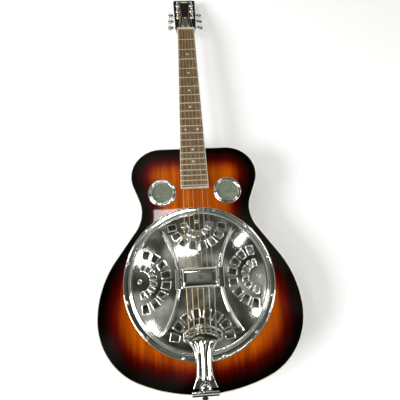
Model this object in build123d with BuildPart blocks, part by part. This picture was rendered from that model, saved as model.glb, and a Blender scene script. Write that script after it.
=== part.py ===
"""Resonator guitar: a wooden flat-top body with a spun cone, spider bridge and domed coverplate.

Frame: the guitar lies on its flat back. +Z rises out of the soundboard, +Y runs towards the
headstock and +X towards the treble side. The origin is on the back face, below the cone's centre.
Millimetres throughout.
"""

import os
from math import acos, atan2, cos, hypot, radians, sin, sqrt

from build123d import *

os.makedirs("parts", exist_ok=True)

# ---------------------------------------------------------------- driving dimensions
# strings and neck
scale_length = 648.0
saddle_compensation = 2.5
fret_count = 21
body_join_fret = 14
neck_angle = 2.9
headstock_angle = 13.0
nut_width = 44.0
nut_thickness = 5.0
heel_width = 56.0
neck_depth_at_nut = 14.5
neck_depth_at_heel = 17.5
fingerboard_thickness = 6.5
fingerboard_overhang = 5.5
fret_width = 2.4
fret_height = 1.1
first_fret_gap = 0.6
bridge_action = 3.8
string_spread_nut = 36.0
string_spread_bridge = 54.0
string_spread_comb = 50.0
string_diameters = [0.33, 0.43, 0.66, 0.81, 1.07, 1.42]

# body outline
body_depth = 84.0
lower_bout_width = 396.0
lower_bout_y = -60.0
lower_bout_radius = 189.0
lower_corner_radius = 128.0
waist_width = 230.0
waist_y = 142.0
waist_radius = 70.0
upper_bout_width = 276.0
upper_bout_radius = 65.0
cone_to_tail = 202.0

# body walls
top_thickness = 3.5
back_thickness = 3.0
side_thickness = 3.0
binding_width = 1.8
binding_height = 6.0
lining_width = 5.0
lining_height = 13.0
neck_block_width = 72.0
neck_block_length = 38.0
tail_block_width = 72.0
tail_block_length = 20.0
brace_width = 8.0
brace_height = 12.0
tenon_width = 22.0
tenon_length = 24.0
tenon_depth = 56.0
extension_lift = 1.0

# resonator
coverplate_diameter = 300.0
coverplate_thickness = 1.0
coverplate_crown = 17.0
dome_edge_height = 4.5
flange_width = 10.5
dome_step_width = 3.5
screw_inset = 5.0
coverplate_screw_count = 12
coverplate_screw_diameter = 3.0
fan_focus_inset = 34.0
fan_slot_count = 8
fan_slot_pitch = 22.0
inner_slot_distance = 27.0
inner_slot_length = 10.5
inner_slot_width = 5.5
outer_slot_distance = 52.0
outer_slot_length = 15.0
outer_slot_width = 12.5
band_height = 1.2
band_waist = 82.0
band_end_width = 150.0
band_end_inset = 50.0
bridge_window_length = 66.0
bridge_window_width = 26.0
cone_inset = 3.0
cone_thickness = 0.8
cone_seat_depth = 13.0
cone_bowl_depth = 32.0
soundwell_wall = 13.0
soundwell_height = 52.0
ledge_width = 8.0
ledge_height = 6.0
spider_leg_count = 8
spider_hub_radius = 20.0
saddle_thickness = 3.2
handrest_length = 64.0
handrest_width = 38.0
handrest_thickness = 1.8
handrest_string_gap = 9.0
handrest_foot = 11.0
handrest_flare = 4.0
handrest_foot_lift = 2.6
handrest_corner_radius = 2.5
handrest_screw_radius = 1.5
handrest_screw_head_radius = 3.0
handrest_screw_head_height = 1.8
handrest_screw_length = 8.0
access_hole_radius = 2.6
rim_screw_head_radius = 3.2
rim_screw_head_height = 2.2
rim_screw_length = 14.0
screw_angle = 15.0
fan_focus_hole_radius = 2.5
outer_slot_taper = 85.0
band_sink = 0.5
cone_raise = 18.0
cone_seat_width = 9.0
cone_shoulder_drop = 4.0
cone_bowl_outer_radius = 62.0
cone_bowl_inner_radius = 50.0
cone_top_radius = 16.0
cone_hole_radius = 2.2
tension_screw_radius = 2.0
tension_head_radius = 3.2
tension_head_height = 2.6
tension_nut_radius = 4.0
tension_nut_height = 2.5
saddle_centre_gap = 4.0
saddle_height = 14.0
saddle_string_depth = 0.4
spider_bar_drop = 8.0
spider_bar_width = 9.0
spider_hub_height = 8.0
spider_leg_width = 6.0
vent_length = 40.0
vent_height = 18.0

# sound-hole screens
screen_x = 70.0
screen_y = 185.5
screen_ring_diameter = 61.0
screen_barrel_diameter = 52.0
screen_bore_diameter = 44.0
screen_barrel_depth = 5.0
screen_ring_height = 2.8
screen_lip = 1.8
screen_mesh_thickness = 0.9

# tailpiece
comb_half_width = 36.0
comb_front_y = -84.0
comb_arc_radius = 60.0
comb_depth = 15.0
comb_thickness = 7.0
stem_thickness = 3.6
stem_half_width = 15.0
stem_end_half_width = 22.5
tail_hinge_inset = 5.0
hinge_barrel_radius = 3.2
hinge_pin_radius = 1.6
hinge_half_length = 24.0
hinge_knuckle_half = 12.0
bracket_thickness = 1.6
bracket_half_width = 24.0
bracket_screw_radius = 1.5
bracket_screw_length = 14.0
bracket_bottom_z = 32.0
boss_radius = 10.0
boss_height = 1.6
boss_inset = 13.0
comb_ridge_height = 0.9
comb_ridge_width = 2.4
comb_ridge_pitch = 4.6
comb_shoulder = 5.0
tailpiece_play = 2.4
end_button_z = 42.0
button_end_length = 15.0
button_crown = 3.5
button_collar_radius = 7.0
button_groove_radius = 4.6
button_rim_radius = 6.5
button_shank_radius = 4.0
button_shank_length = 22.0

# headstock and tuners
headstock_length = 163.0
headstock_width_base = 56.0
headstock_width_tip = 63.0
headstock_flare_length = 28.0
headstock_thickness = 14.0
headstock_corner_radius = 8.0
veneer_thickness = 1.8
tuner_first = 60.0
tuner_pitch = 34.5
post_x = 19.0
post_radius = 3.0
post_height = 12.0
gear_radius = 7.0
gear_thickness = 5.0
worm_radius = 2.9
shaft_radius = 2.5
housing_height = 12.0
housing_wall = 2.0
button_reach = 49.5
button_length = 15.0
button_width = 20.0
button_thickness = 10.0
collar_radius = 3.6
worm_half_length = 6.0
tab_length = 7.0
tab_thickness = 2.5
housing_screw_radius = 1.0
housing_screw_length = 7.0

# fits
running_clearance = 0.08
mesh_clearance = 0.15
cavity_clearance = 0.2
gap = 0.3
seat_gap = 0.03

# ---------------------------------------------------------------- derived places
neck_slope = radians(neck_angle)
half_lower = lower_bout_width / 2
half_waist = waist_width / 2
half_upper = upper_bout_width / 2
tail_y = -cone_to_tail
top_z = body_depth
string_length = scale_length + saddle_compensation


def fret_distance(fret):
    """Distance from the nut to a fret, along the fingerboard."""
    return scale_length * (1 - 2 ** (-fret / 12))


join_distance = fret_distance(body_join_fret)
body_top_y = (string_length - join_distance) * cos(neck_slope)
upper_bout_y = body_top_y - upper_bout_radius
nut_y = body_top_y + join_distance * cos(neck_slope)
nut_base_z = top_z + extension_lift - join_distance * sin(neck_slope)
fingerboard_length = fret_distance(fret_count) + fingerboard_overhang
string_rest_z = fingerboard_thickness + fret_height + first_fret_gap

# the neck plane lies under the fingerboard, with its origin below the nut's front face
neck_plane = Plane(
    origin=(0, nut_y, nut_base_z), x_dir=(1, 0, 0), z_dir=(0, sin(neck_slope), cos(neck_slope))
)
head_slope = radians(neck_angle + headstock_angle)
head_origin = neck_plane.from_local_coords(Vector(0, nut_thickness, 0))
head_plane = Plane(
    origin=head_origin, x_dir=(1, 0, 0), z_dir=(0, sin(head_slope), cos(head_slope))
)
bridge_point = neck_plane.from_local_coords(
    Vector(0, -string_length, fingerboard_thickness + fret_height + bridge_action)
)
string_seat_z = bridge_point.Z
dome_sagitta = coverplate_crown - dome_edge_height
flange_inner_radius = coverplate_diameter / 2 - flange_width
dome_radius = flange_inner_radius - dome_step_width
cone_radius = dome_radius - cone_inset
screw_circle_radius = coverplate_diameter / 2 - screw_inset
fan_focus_radius = coverplate_diameter / 2 - fan_focus_inset
band_half_length = coverplate_diameter / 2 - band_end_inset
cone_rim_z = top_z - top_thickness - cone_seat_depth
hinge_y = tail_y + tail_hinge_inset
hinge_z = top_z + bracket_thickness + hinge_barrel_radius + gap
handrest_bottom_z = string_seat_z + handrest_string_gap
handrest_top_z = handrest_bottom_z + handrest_thickness
handrest_screw_x = handrest_length / 2 + handrest_flare + handrest_foot / 2
string_numbers = [1, 2, 3, 4, 5, 6]


def cap_height(half_width, rise, radius):
    """Height of a spherical cap above its base, at a radius from its axis."""
    sphere = (half_width**2 + rise**2) / (2 * rise)
    return rise - sphere + sqrt(sphere**2 - radius**2)


def dome_height(radius):
    """Height of the coverplate's outer surface above the soundboard."""
    return dome_edge_height + cap_height(dome_radius, dome_sagitta, radius)


def board_width(distance):
    """Width of the neck and fingerboard at a distance from the nut."""
    return nut_width + (heel_width - nut_width) * distance / join_distance


# ---------------------------------------------------------------- body outline
def bout_to_waist(bout_half, bout_y, bout_radius, side):
    """Tangent points of the straight stretch between a bout's arc and the waist's arc."""
    bout_centre = Vector(bout_half - bout_radius, bout_y)
    waist_centre = Vector(half_waist + waist_radius, waist_y)
    span = waist_centre - bout_centre
    turn = acos((bout_radius + waist_radius) / span.length)
    angle = atan2(span.Y, span.X) - side * turn
    normal = Vector(cos(angle), sin(angle))
    return bout_centre + normal * bout_radius, waist_centre - normal * waist_radius


def half_outline():
    """The right half of the body outline, from the tail to the neck, as tangent arcs and lines."""
    corner_x = half_lower - lower_corner_radius
    rise = lower_bout_y - tail_y
    tail_radius = (corner_x**2 + rise**2 - lower_corner_radius**2) / (
        2 * (rise - lower_corner_radius)
    )
    tail_centre_y = tail_y + tail_radius
    reach = hypot(corner_x, lower_bout_y - tail_centre_y)
    tail_join = Vector(
        corner_x * tail_radius / reach,
        tail_centre_y + (lower_bout_y - tail_centre_y) * tail_radius / reach,
    )
    low_a, low_b = bout_to_waist(half_lower, lower_bout_y, lower_bout_radius, 1)
    high_a, high_b = bout_to_waist(half_upper, upper_bout_y, upper_bout_radius, -1)
    shoulder = Vector(half_upper - upper_bout_radius, body_top_y)
    RadiusArc((0, tail_y), tail_join, -tail_radius)
    RadiusArc(tail_join, (half_lower, lower_bout_y), -lower_corner_radius)
    RadiusArc((half_lower, lower_bout_y), low_a, -lower_bout_radius)
    Line(low_a, low_b)
    RadiusArc(low_b, high_b, waist_radius)
    Line(high_b, high_a)
    RadiusArc(high_a, shoulder, -upper_bout_radius)
    Line(shoulder, (0, body_top_y))
    Line((0, body_top_y), (0, tail_y))


def body_prism(inset, bottom, top):
    """A solid with the body's outline set inwards, between two heights."""
    with BuildPart() as prism:
        with BuildSketch(Plane.XY.offset(bottom)):
            with BuildLine():
                half_outline()
            make_face()
            mirror(about=Plane.YZ)
            if inset > 0:
                offset(amount=-inset, kind=Kind.INTERSECTION)
        extrude(amount=top - bottom)
    return prism.part


def body_ring(outer_inset, inner_inset, bottom, top):
    """A wall that follows the body's outline, between two insets and two heights."""
    with BuildPart() as ring:
        add(body_prism(outer_inset, bottom, top))
        add(body_prism(inner_inset, bottom - 1, top + 1), mode=Mode.SUBTRACT)
    return ring.part


def block_box(width, length, outer_y, direction, bottom, top):
    """A block behind an end of the body, from outer_y inwards along direction (+1 or -1 in Y)."""
    with BuildPart() as block:
        with BuildSketch(Plane.XY.offset(bottom)):
            with Locations((0, outer_y + direction * length / 2)):
                Rectangle(width, length)
        extrude(amount=top - bottom)
    return block.part


inner_bottom = back_thickness
inner_top = top_z - top_thickness
lining_inset = side_thickness + lining_width
block_face_y = body_top_y - side_thickness
neck_block_solid = block_box(
    neck_block_width, neck_block_length, block_face_y, -1, inner_bottom, inner_top
)
tail_block_solid = block_box(
    tail_block_width, tail_block_length + side_thickness, tail_y, 1, inner_bottom, inner_top
)
tenon_top = top_z - binding_height - 2
tenon_bottom = tenon_top - tenon_depth
end_button_plane = Plane(origin=(0, tail_y, end_button_z), x_dir=(1, 0, 0), z_dir=(0, -1, 0))


def end_button_bore():
    """The bore through the tail for the end button's shank."""
    with BuildPart() as bore:
        with BuildSketch(end_button_plane.offset(10)):
            Circle(button_shank_radius + seat_gap)
        extrude(amount=-50)
    return bore.part


bracket_screw_places = [(-13.0, 70.0), (13.0, 70.0), (0.0, 60.0)]


def bracket_screw_bores():
    """The pilot holes for the bracket's screws, through the side and into the tail block."""
    with BuildPart() as bores:
        with BuildSketch(Plane.XZ.offset(cone_to_tail + 10)):
            with Locations(*bracket_screw_places):
                Circle(bracket_screw_radius)
        extrude(amount=-bracket_screw_length - 10)
    return bores.part


def tenon_slot():
    """The mortise that the neck's tenon fills, with a thin glue gap."""
    with BuildPart() as slot:
        with BuildSketch(Plane.XY.offset(tenon_bottom - seat_gap)):
            with Locations((0, body_top_y - tenon_length / 2)):
                Rectangle(tenon_width + 2 * seat_gap, tenon_length + 2 * seat_gap)
        extrude(amount=tenon_depth + 2 * seat_gap)
    return slot.part


# ---------------------------------------------------------------- body
def make_sides():
    """The bent sides, rebated at both edges for the bindings."""
    with BuildPart() as body_sides:
        add(body_prism(binding_width, inner_bottom, inner_top))
        add(body_prism(0, binding_height, top_z - binding_height))
        add(body_prism(side_thickness, 0, top_z), mode=Mode.SUBTRACT)
        add(tenon_slot(), mode=Mode.SUBTRACT)
        add(end_button_bore(), mode=Mode.SUBTRACT)
        add(bracket_screw_bores(), mode=Mode.SUBTRACT)
    body_sides.part.label = "body_sides"
    export_step(body_sides.part, "parts/body_sides.step")


def make_soundboard():
    """The top plate, with the resonator's hole, two screen holes and the screws' pilot holes."""
    with BuildPart() as soundboard:
        add(body_prism(binding_width, inner_top, top_z))
        with BuildSketch(Plane.XY.offset(top_z)):
            Circle(cone_radius + 1.5)
            with Locations((-screen_x, screen_y), (screen_x, screen_y)):
                Circle(screen_barrel_diameter / 2 + seat_gap)
            with PolarLocations(screw_circle_radius, coverplate_screw_count, screw_angle):
                Circle(coverplate_screw_diameter / 2)
        extrude(amount=-top_thickness, mode=Mode.SUBTRACT)
    soundboard.part.label = "soundboard"
    export_step(soundboard.part, "parts/soundboard.step")


def make_back():
    """The flat back plate."""
    with BuildPart() as back:
        add(body_prism(binding_width, 0, back_thickness))
    back.part.label = "back"
    export_step(back.part, "parts/back.step")


def make_bindings():
    """The strips let into the body's two outer edges."""
    with BuildPart() as top_binding:
        add(body_ring(0, binding_width, top_z - binding_height, top_z))
    top_binding.part.label = "top_binding"
    export_step(top_binding.part, "parts/top_binding.step")
    with BuildPart() as back_binding:
        add(body_ring(0, binding_width, 0, binding_height))
    back_binding.part.label = "back_binding"
    export_step(back_binding.part, "parts/back_binding.step")


def make_linings():
    """The glue strips inside the sides, along the top and the back."""
    with BuildPart() as top_lining:
        add(body_ring(side_thickness, lining_inset, inner_top - lining_height, inner_top))
        add(neck_block_solid, mode=Mode.SUBTRACT)
        add(tail_block_solid, mode=Mode.SUBTRACT)
    top_lining.part.label = "top_lining"
    export_step(top_lining.part, "parts/top_lining.step")
    with BuildPart() as back_lining:
        add(body_ring(side_thickness, lining_inset, inner_bottom, inner_bottom + lining_height))
        add(neck_block_solid, mode=Mode.SUBTRACT)
        add(tail_block_solid, mode=Mode.SUBTRACT)
    back_lining.part.label = "back_lining"
    export_step(back_lining.part, "parts/back_lining.step")


def make_blocks():
    """The neck block, with its mortise, and the tail block, with the end button's bore."""
    with BuildPart() as neck_block:
        add(neck_block_solid)
        add(tenon_slot(), mode=Mode.SUBTRACT)
    neck_block.part.label = "neck_block"
    export_step(neck_block.part, "parts/neck_block.step")
    with BuildPart() as tail_block:
        add(tail_block_solid)
        add(body_prism(side_thickness, 0, top_z), mode=Mode.INTERSECT)
        add(end_button_bore(), mode=Mode.SUBTRACT)
        add(bracket_screw_bores(), mode=Mode.SUBTRACT)
    tail_block.part.label = "tail_block"
    export_step(tail_block.part, "parts/tail_block.step")


def make_braces():
    """The bars across the inside of the back."""
    brace_places = [upper_bout_y - 25, 70, lower_bout_y - 10, lower_bout_y - 80]
    with BuildPart() as back_braces:
        with BuildSketch(Plane.XY.offset(inner_bottom)):
            with Locations(*[(0, place) for place in brace_places]):
                Rectangle(lower_bout_width, brace_width)
        extrude(amount=brace_height)
        add(
            body_prism(lining_inset + seat_gap, 0, inner_bottom + brace_height),
            mode=Mode.INTERSECT,
        )
    back_braces.part.label = "back_braces"
    export_step(back_braces.part, "parts/back_braces.step")


# ---------------------------------------------------------------- resonator
well_inner = cone_radius + 1.5
well_outer = well_inner + soundwell_wall
vent_z = cone_rim_z - ledge_height - 7 - vent_height / 2


def make_soundwell():
    """The round wall inside the body, with vents and the ledge that carries the cone."""
    with BuildPart() as soundwell:
        with BuildSketch(Plane.XY.offset(inner_top)):
            Circle(well_outer)
            Circle(well_inner, mode=Mode.SUBTRACT)
        extrude(amount=-soundwell_height)
        with BuildSketch(Plane.XY.offset(cone_rim_z)):
            Circle(well_inner)
            Circle(well_inner - ledge_width, mode=Mode.SUBTRACT)
        extrude(amount=-ledge_height)
        with Locations((0, 0, vent_z)):
            with PolarLocations(well_inner + soundwell_wall / 2, coverplate_screw_count):
                Box(2 * soundwell_wall, vent_length, vent_height, mode=Mode.SUBTRACT)
        with BuildSketch(Plane.XY.offset(inner_top)):
            with PolarLocations(screw_circle_radius, coverplate_screw_count, screw_angle):
                Circle(coverplate_screw_diameter / 2)
        extrude(amount=-rim_screw_length, mode=Mode.SUBTRACT)
    soundwell.part.label = "soundwell"
    export_step(soundwell.part, "parts/soundwell.step")


cone_floor = -cone_bowl_depth
cone_centre = cone_raise - cone_bowl_depth
cone_steps = [
    (cone_radius, 0),
    (cone_radius - cone_seat_width, 0),
    (cone_radius - cone_seat_width - 5, -cone_shoulder_drop),
    (cone_bowl_outer_radius, cone_floor),
    (cone_bowl_inner_radius, cone_floor),
    (cone_top_radius, cone_centre),
    (cone_hole_radius, cone_centre),
]
saddle_half = string_spread_bridge / 2 + 3.0
saddle_seat_z = string_seat_z - saddle_height
spider_bar_top = string_seat_z - spider_bar_drop
spider_hub_top = saddle_seat_z - 3.0
spider_hub_bottom = spider_hub_top - spider_hub_height


def make_cone():
    """The spun cone: a seat at its rim, a bowl, and a raised middle."""
    top_side = [(radius, height + cone_thickness) for radius, height in cone_steps]
    low_side = list(reversed(cone_steps))
    with BuildPart() as cone:
        with BuildSketch(Plane.XZ):
            with BuildLine():
                Polyline(*[(r, cone_rim_z + z) for r, z in top_side + low_side], close=True)
            make_face()
        revolve(axis=Axis.Z)
    cone.part.label = "cone"
    export_step(cone.part, "parts/cone.step")


def make_spider():
    """The cast spider: a hub and bridge bar on eight legs that stand on the cone's rim."""
    foot_z = cone_rim_z + cone_thickness
    foot_radius = cone_radius - 1
    with BuildPart() as leg:
        with BuildSketch(Plane.XZ):
            with BuildLine():
                Polyline(
                    (spider_hub_radius - 6, spider_hub_top),
                    (foot_radius, foot_z + 5),
                    (foot_radius, foot_z),
                    (foot_radius - 8, foot_z),
                    (spider_hub_radius - 6, spider_hub_bottom + 2),
                    close=True,
                )
            make_face()
        extrude(amount=spider_leg_width / 2, both=True)
    with BuildPart() as spider:
        with BuildSketch(Plane.XY.offset(spider_hub_bottom)):
            Circle(spider_hub_radius)
        extrude(amount=spider_hub_top - spider_hub_bottom)
        with PolarLocations(0, spider_leg_count, 180 / spider_leg_count):
            add(leg.part)
        with BuildSketch(Plane.XY.offset(spider_hub_top - 1)):
            Rectangle(2 * saddle_half, spider_bar_width)
        extrude(amount=spider_bar_top - spider_hub_top + 1)
        with BuildSketch(Plane.XY.offset(saddle_seat_z)):
            Rectangle(2 * saddle_half + 2, saddle_thickness)
            Circle(tension_head_radius + gap)
        extrude(amount=spider_bar_top, mode=Mode.SUBTRACT)
        with BuildSketch(Plane.XY.offset(spider_hub_bottom - 1)):
            Circle(tension_screw_radius + 0.1)
        extrude(amount=40, mode=Mode.SUBTRACT)
    spider.part.label = "spider"
    export_step(spider.part, "parts/spider.step")


def make_tension_screw():
    """The screw that ties the spider's hub to the cone's middle, with its nut under the cone."""
    cone_z = cone_rim_z + cone_centre
    with BuildPart() as tension_screw:
        with BuildSketch(Plane.XY.offset(cone_z - 3.5)):
            Circle(tension_screw_radius)
        extrude(amount=saddle_seat_z - cone_z + 3.5)
        with BuildSketch(Plane.XY.offset(saddle_seat_z)):
            Circle(tension_head_radius)
        extrude(amount=tension_head_height)
        with BuildSketch(Plane.XY.offset(saddle_seat_z + tension_head_height)):
            Rectangle(2 * tension_head_radius, 0.8)
        extrude(amount=-1, mode=Mode.SUBTRACT)
        with BuildSketch(Plane.XY.offset(cone_z)):
            RegularPolygon(tension_nut_radius, 6)
        extrude(amount=-tension_nut_height)
    tension_screw.part.label = "tension_screw"
    export_step(tension_screw.part, "parts/tension_screw.step")


def dome_outline():
    """The coverplate's radial section between its inner and outer surfaces."""
    low = top_z
    crown = low + coverplate_crown
    half_radius = dome_radius / 2
    edge = low + dome_edge_height
    Polyline(
        (dome_radius, edge),
        (flange_inner_radius, low + coverplate_thickness),
        (coverplate_diameter / 2, low + coverplate_thickness),
        (coverplate_diameter / 2, low),
        (flange_inner_radius - 1, low),
        (dome_radius - 1, edge - coverplate_thickness),
    )
    ThreePointArc(
        (dome_radius - 1, edge - coverplate_thickness),
        (half_radius, low + dome_height(half_radius) - coverplate_thickness),
        (0, crown - coverplate_thickness),
    )
    Line((0, crown - coverplate_thickness), (0, crown))
    ThreePointArc((0, crown), (half_radius, low + dome_height(half_radius)), (dome_radius, edge))


def band_outline():
    """The hourglass band under the strings, waisted in the middle."""
    half_end = band_end_width / 2
    half_middle = band_waist / 2
    ThreePointArc((half_end, -band_half_length), (half_middle, 0), (half_end, band_half_length))
    Line((half_end, band_half_length), (-half_end, band_half_length))
    ThreePointArc((-half_end, band_half_length), (-half_middle, 0), (-half_end, -band_half_length))
    Line((-half_end, -band_half_length), (half_end, -band_half_length))


def raised_band():
    """The pressed hourglass band, as a skin that lies on the dome."""
    half_radius = dome_radius / 2
    crown = top_z + coverplate_crown
    middle = top_z + dome_height(half_radius)
    edge = top_z + dome_edge_height
    with BuildPart() as band:
        with BuildSketch(Plane.XZ):
            with BuildLine():
                ThreePointArc(
                    (0, crown - band_sink),
                    (half_radius, middle - band_sink),
                    (dome_radius, edge - band_sink),
                )
                Line((dome_radius, edge - band_sink), (dome_radius, edge + band_height))
                ThreePointArc(
                    (dome_radius, edge + band_height),
                    (half_radius, middle + band_height),
                    (0, crown + band_height),
                )
                Line((0, crown + band_height), (0, crown - band_sink))
            make_face()
        revolve(axis=Axis.Z)
        with BuildSketch(Plane.XY.offset(top_z)):
            with BuildLine():
                band_outline()
            make_face()
        extrude(amount=2 * coverplate_crown, mode=Mode.INTERSECT)
    return band.part


def fan_slots():
    """One fan's slots and focus hole, centred on its focus and opening towards -X."""
    with BuildSketch() as fan:
        Circle(fan_focus_hole_radius)
        for index in range(fan_slot_count):
            angle = 180 + (index - (fan_slot_count - 1) / 2) * fan_slot_pitch
            turn = radians(angle)
            inner = Location(
                (inner_slot_distance * cos(turn), inner_slot_distance * sin(turn)), angle
            )
            outer = Location(
                (outer_slot_distance * cos(turn), outer_slot_distance * sin(turn)), angle
            )
            with Locations(inner):
                Rectangle(inner_slot_length, inner_slot_width)
            with Locations(outer):
                Trapezoid(outer_slot_width, outer_slot_length, outer_slot_taper, rotation=90)
    return fan.sketch


def make_coverplate():
    """The domed coverplate with its rim flange, pressed band, slot fans, window and screw holes."""
    slots = fan_slots()
    with BuildPart() as coverplate:
        with BuildSketch(Plane.XZ):
            with BuildLine():
                dome_outline()
            make_face()
        revolve(axis=Axis.Z)
        add(raised_band())
        with BuildSketch(Plane.XY.offset(top_z - 1)):
            with PolarLocations(fan_focus_radius, 4):
                add(slots)
            Rectangle(bridge_window_length, bridge_window_width)
            with PolarLocations(screw_circle_radius, coverplate_screw_count, screw_angle):
                Circle(coverplate_screw_diameter / 2 + 0.2)
            with Locations((-handrest_screw_x, 0), (handrest_screw_x, 0)):
                Circle(handrest_screw_radius)
        extrude(amount=2 * coverplate_crown, mode=Mode.SUBTRACT)
    coverplate.part.label = "coverplate"
    export_step(coverplate.part, "parts/coverplate.step")


def dome_core():
    """Everything below the coverplate's outer surface, band included."""
    half_radius = dome_radius / 2
    with BuildPart() as core:
        with BuildSketch(Plane.XZ):
            with BuildLine():
                ThreePointArc(
                    (0, top_z + coverplate_crown),
                    (half_radius, top_z + dome_height(half_radius)),
                    (dome_radius, top_z + dome_edge_height),
                )
                Polyline(
                    (dome_radius, top_z + dome_edge_height),
                    (dome_radius, top_z),
                    (0, top_z),
                    (0, top_z + coverplate_crown),
                )
            make_face()
        revolve(axis=Axis.Z)
        add(raised_band())
    return core.part


def make_handrest():
    """The arched handrest over the bridge, on two feet, with a hole over the tension screw."""
    half = handrest_length / 2
    leg_out = half + handrest_flare
    foot_out = leg_out + handrest_foot
    inner = handrest_thickness
    foot_top = top_z + dome_height(half) + handrest_foot_lift
    with BuildPart() as handrest:
        with BuildSketch(Plane.XZ.offset(-handrest_width / 2)) as arch:
            with BuildLine():
                Polyline(
                    (-foot_out, top_z + 8),
                    (-foot_out, foot_top),
                    (-leg_out, foot_top),
                    (-half, handrest_top_z),
                    (half, handrest_top_z),
                    (leg_out, foot_top),
                    (foot_out, foot_top),
                    (foot_out, top_z + 8),
                    (leg_out - inner, top_z + 8),
                    (leg_out - inner, foot_top),
                    (half - inner, handrest_bottom_z),
                    (inner - half, handrest_bottom_z),
                    (inner - leg_out, foot_top),
                    (inner - leg_out, top_z + 8),
                    close=True,
                )
            make_face()
            fillet(
                arch.vertices().filter_by(lambda v: v.Y > handrest_bottom_z - 0.1),
                radius=handrest_corner_radius,
            )
        extrude(amount=handrest_width)
        add(dome_core(), mode=Mode.SUBTRACT)
        with BuildSketch(Plane.XY.offset(top_z)):
            Circle(access_hole_radius)
            with Locations((-handrest_screw_x, 0), (handrest_screw_x, 0)):
                Circle(handrest_screw_radius)
        extrude(amount=60, mode=Mode.SUBTRACT)
    handrest.part.label = "handrest"
    export_step(handrest.part, "parts/handrest.step")
    with BuildPart() as handrest_screws:
        with BuildSketch(Plane.XY.offset(foot_top)):
            with Locations((-handrest_screw_x, 0), (handrest_screw_x, 0)):
                Circle(handrest_screw_head_radius)
        extrude(amount=handrest_screw_head_height)
        with BuildSketch(Plane.XY.offset(foot_top)):
            with Locations((-handrest_screw_x, 0), (handrest_screw_x, 0)):
                Circle(handrest_screw_radius)
        extrude(amount=-handrest_screw_length)
    handrest_screws.part.label = "handrest_screws"
    export_step(handrest_screws.part, "parts/handrest_screws.step")


def make_saddles():
    """The two wooden inserts in the bridge bar, grooved for the strings."""
    with BuildPart() as saddle_inserts:
        middle = (saddle_centre_gap + saddle_half) / 2
        with BuildSketch(Plane.XY.offset(saddle_seat_z)):
            with Locations((-middle, 0), (middle, 0)):
                Rectangle(saddle_half - saddle_centre_gap, saddle_thickness)
        extrude(amount=saddle_height + saddle_string_depth)
        for number in string_numbers:
            add(string_groove(number), mode=Mode.SUBTRACT)
    saddle_inserts.part.label = "saddle_inserts"
    export_step(saddle_inserts.part, "parts/saddle_inserts.step")


def make_coverplate_screws():
    """The oval-head screws around the coverplate's rim."""
    head_z = top_z + coverplate_thickness
    point_z = head_z - rim_screw_length
    half = rim_screw_head_radius / 2
    half_z = head_z + cap_height(rim_screw_head_radius, rim_screw_head_height, half)
    shank_radius = coverplate_screw_diameter / 2
    with BuildPart() as screw:
        with BuildSketch(Plane.XZ):
            with BuildLine():
                Polyline(
                    (0, head_z + rim_screw_head_height),
                    (0, point_z),
                    (shank_radius, point_z),
                    (shank_radius, head_z),
                    (rim_screw_head_radius, head_z),
                )
                ThreePointArc(
                    (rim_screw_head_radius, head_z),
                    (half, half_z),
                    (0, head_z + rim_screw_head_height),
                )
            make_face()
        revolve(axis=Axis.Z)
    with BuildPart() as coverplate_screws:
        with PolarLocations(screw_circle_radius, coverplate_screw_count, screw_angle):
            add(screw.part)
    coverplate_screws.part.label = "coverplate_screws"
    export_step(coverplate_screws.part, "parts/coverplate_screws.step")


# ---------------------------------------------------------------- screens
def make_screens():
    """The two stepped screen rings and the mesh discs held under their lips."""
    ring_radius = screen_ring_diameter / 2
    barrel = screen_barrel_diameter / 2
    bore = screen_bore_diameter / 2
    mesh_radius = bore + screen_lip
    ring_top = top_z + screen_ring_height
    with BuildPart() as ring:
        with BuildSketch(Plane.XZ):
            with BuildLine():
                Polyline(
                    (mesh_radius, top_z - screen_barrel_depth),
                    (barrel, top_z - screen_barrel_depth),
                    (barrel, top_z),
                    (ring_radius, top_z),
                    (ring_radius, top_z + 0.8),
                )
                ThreePointArc(
                    (ring_radius, top_z + 0.8),
                    (ring_radius - 1.4, ring_top - 0.6),
                    (ring_radius - 3.5, ring_top),
                )
                Polyline(
                    (ring_radius - 3.5, ring_top),
                    (bore + 2.4, ring_top),
                    (bore + 1.6, top_z + 1.4),
                    (bore, top_z + 1.0),
                    (bore, top_z - 1.0),
                    (mesh_radius, top_z - 1.0),
                    (mesh_radius, top_z - screen_barrel_depth),
                )
            make_face()
        revolve(axis=Axis.Z)
    with BuildPart() as screen_rings:
        with Locations((-screen_x, screen_y), (screen_x, screen_y)):
            add(ring.part)
    screen_rings.part.label = "screen_rings"
    export_step(screen_rings.part, "parts/screen_rings.step")
    with BuildPart() as screen_meshes:
        with BuildSketch(Plane.XY.offset(top_z - 1.0)):
            with Locations((-screen_x, screen_y), (screen_x, screen_y)):
                Circle(mesh_radius)
        extrude(amount=-screen_mesh_thickness)
    screen_meshes.part.label = "screen_meshes"
    export_step(screen_meshes.part, "parts/screen_meshes.step")


# ---------------------------------------------------------------- neck
def neck_section(distance):
    """The plane across the neck at a distance from the nut, with its Y along the neck's normal."""
    return Plane(
        origin=neck_plane.from_local_coords(Vector(0, -distance, 0)),
        x_dir=(1, 0, 0),
        z_dir=-neck_plane.y_dir,
    )


def neck_profile(distance, depth):
    """The neck's half-round section: a flat top and an elliptical back."""
    half = board_width(distance) / 2
    with BuildSketch(neck_section(distance)) as profile:
        with BuildLine():
            EllipticalCenterArc((0, 0), half, depth, start_angle=180, arc_size=180)
            Line((half, 0), (-half, 0))
        make_face()
    return profile.sketch


def heel_profile(height, width, length):
    """A level section of the heel: flat against the body, rounded outwards."""
    with BuildSketch(Plane.XY.offset(height)) as profile:
        with BuildLine():
            EllipticalCenterArc((0, body_top_y), width / 2, length, start_angle=0, arc_size=180)
            Line((-width / 2, body_top_y), (width / 2, body_top_y))
        make_face()
    return profile.sketch


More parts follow.
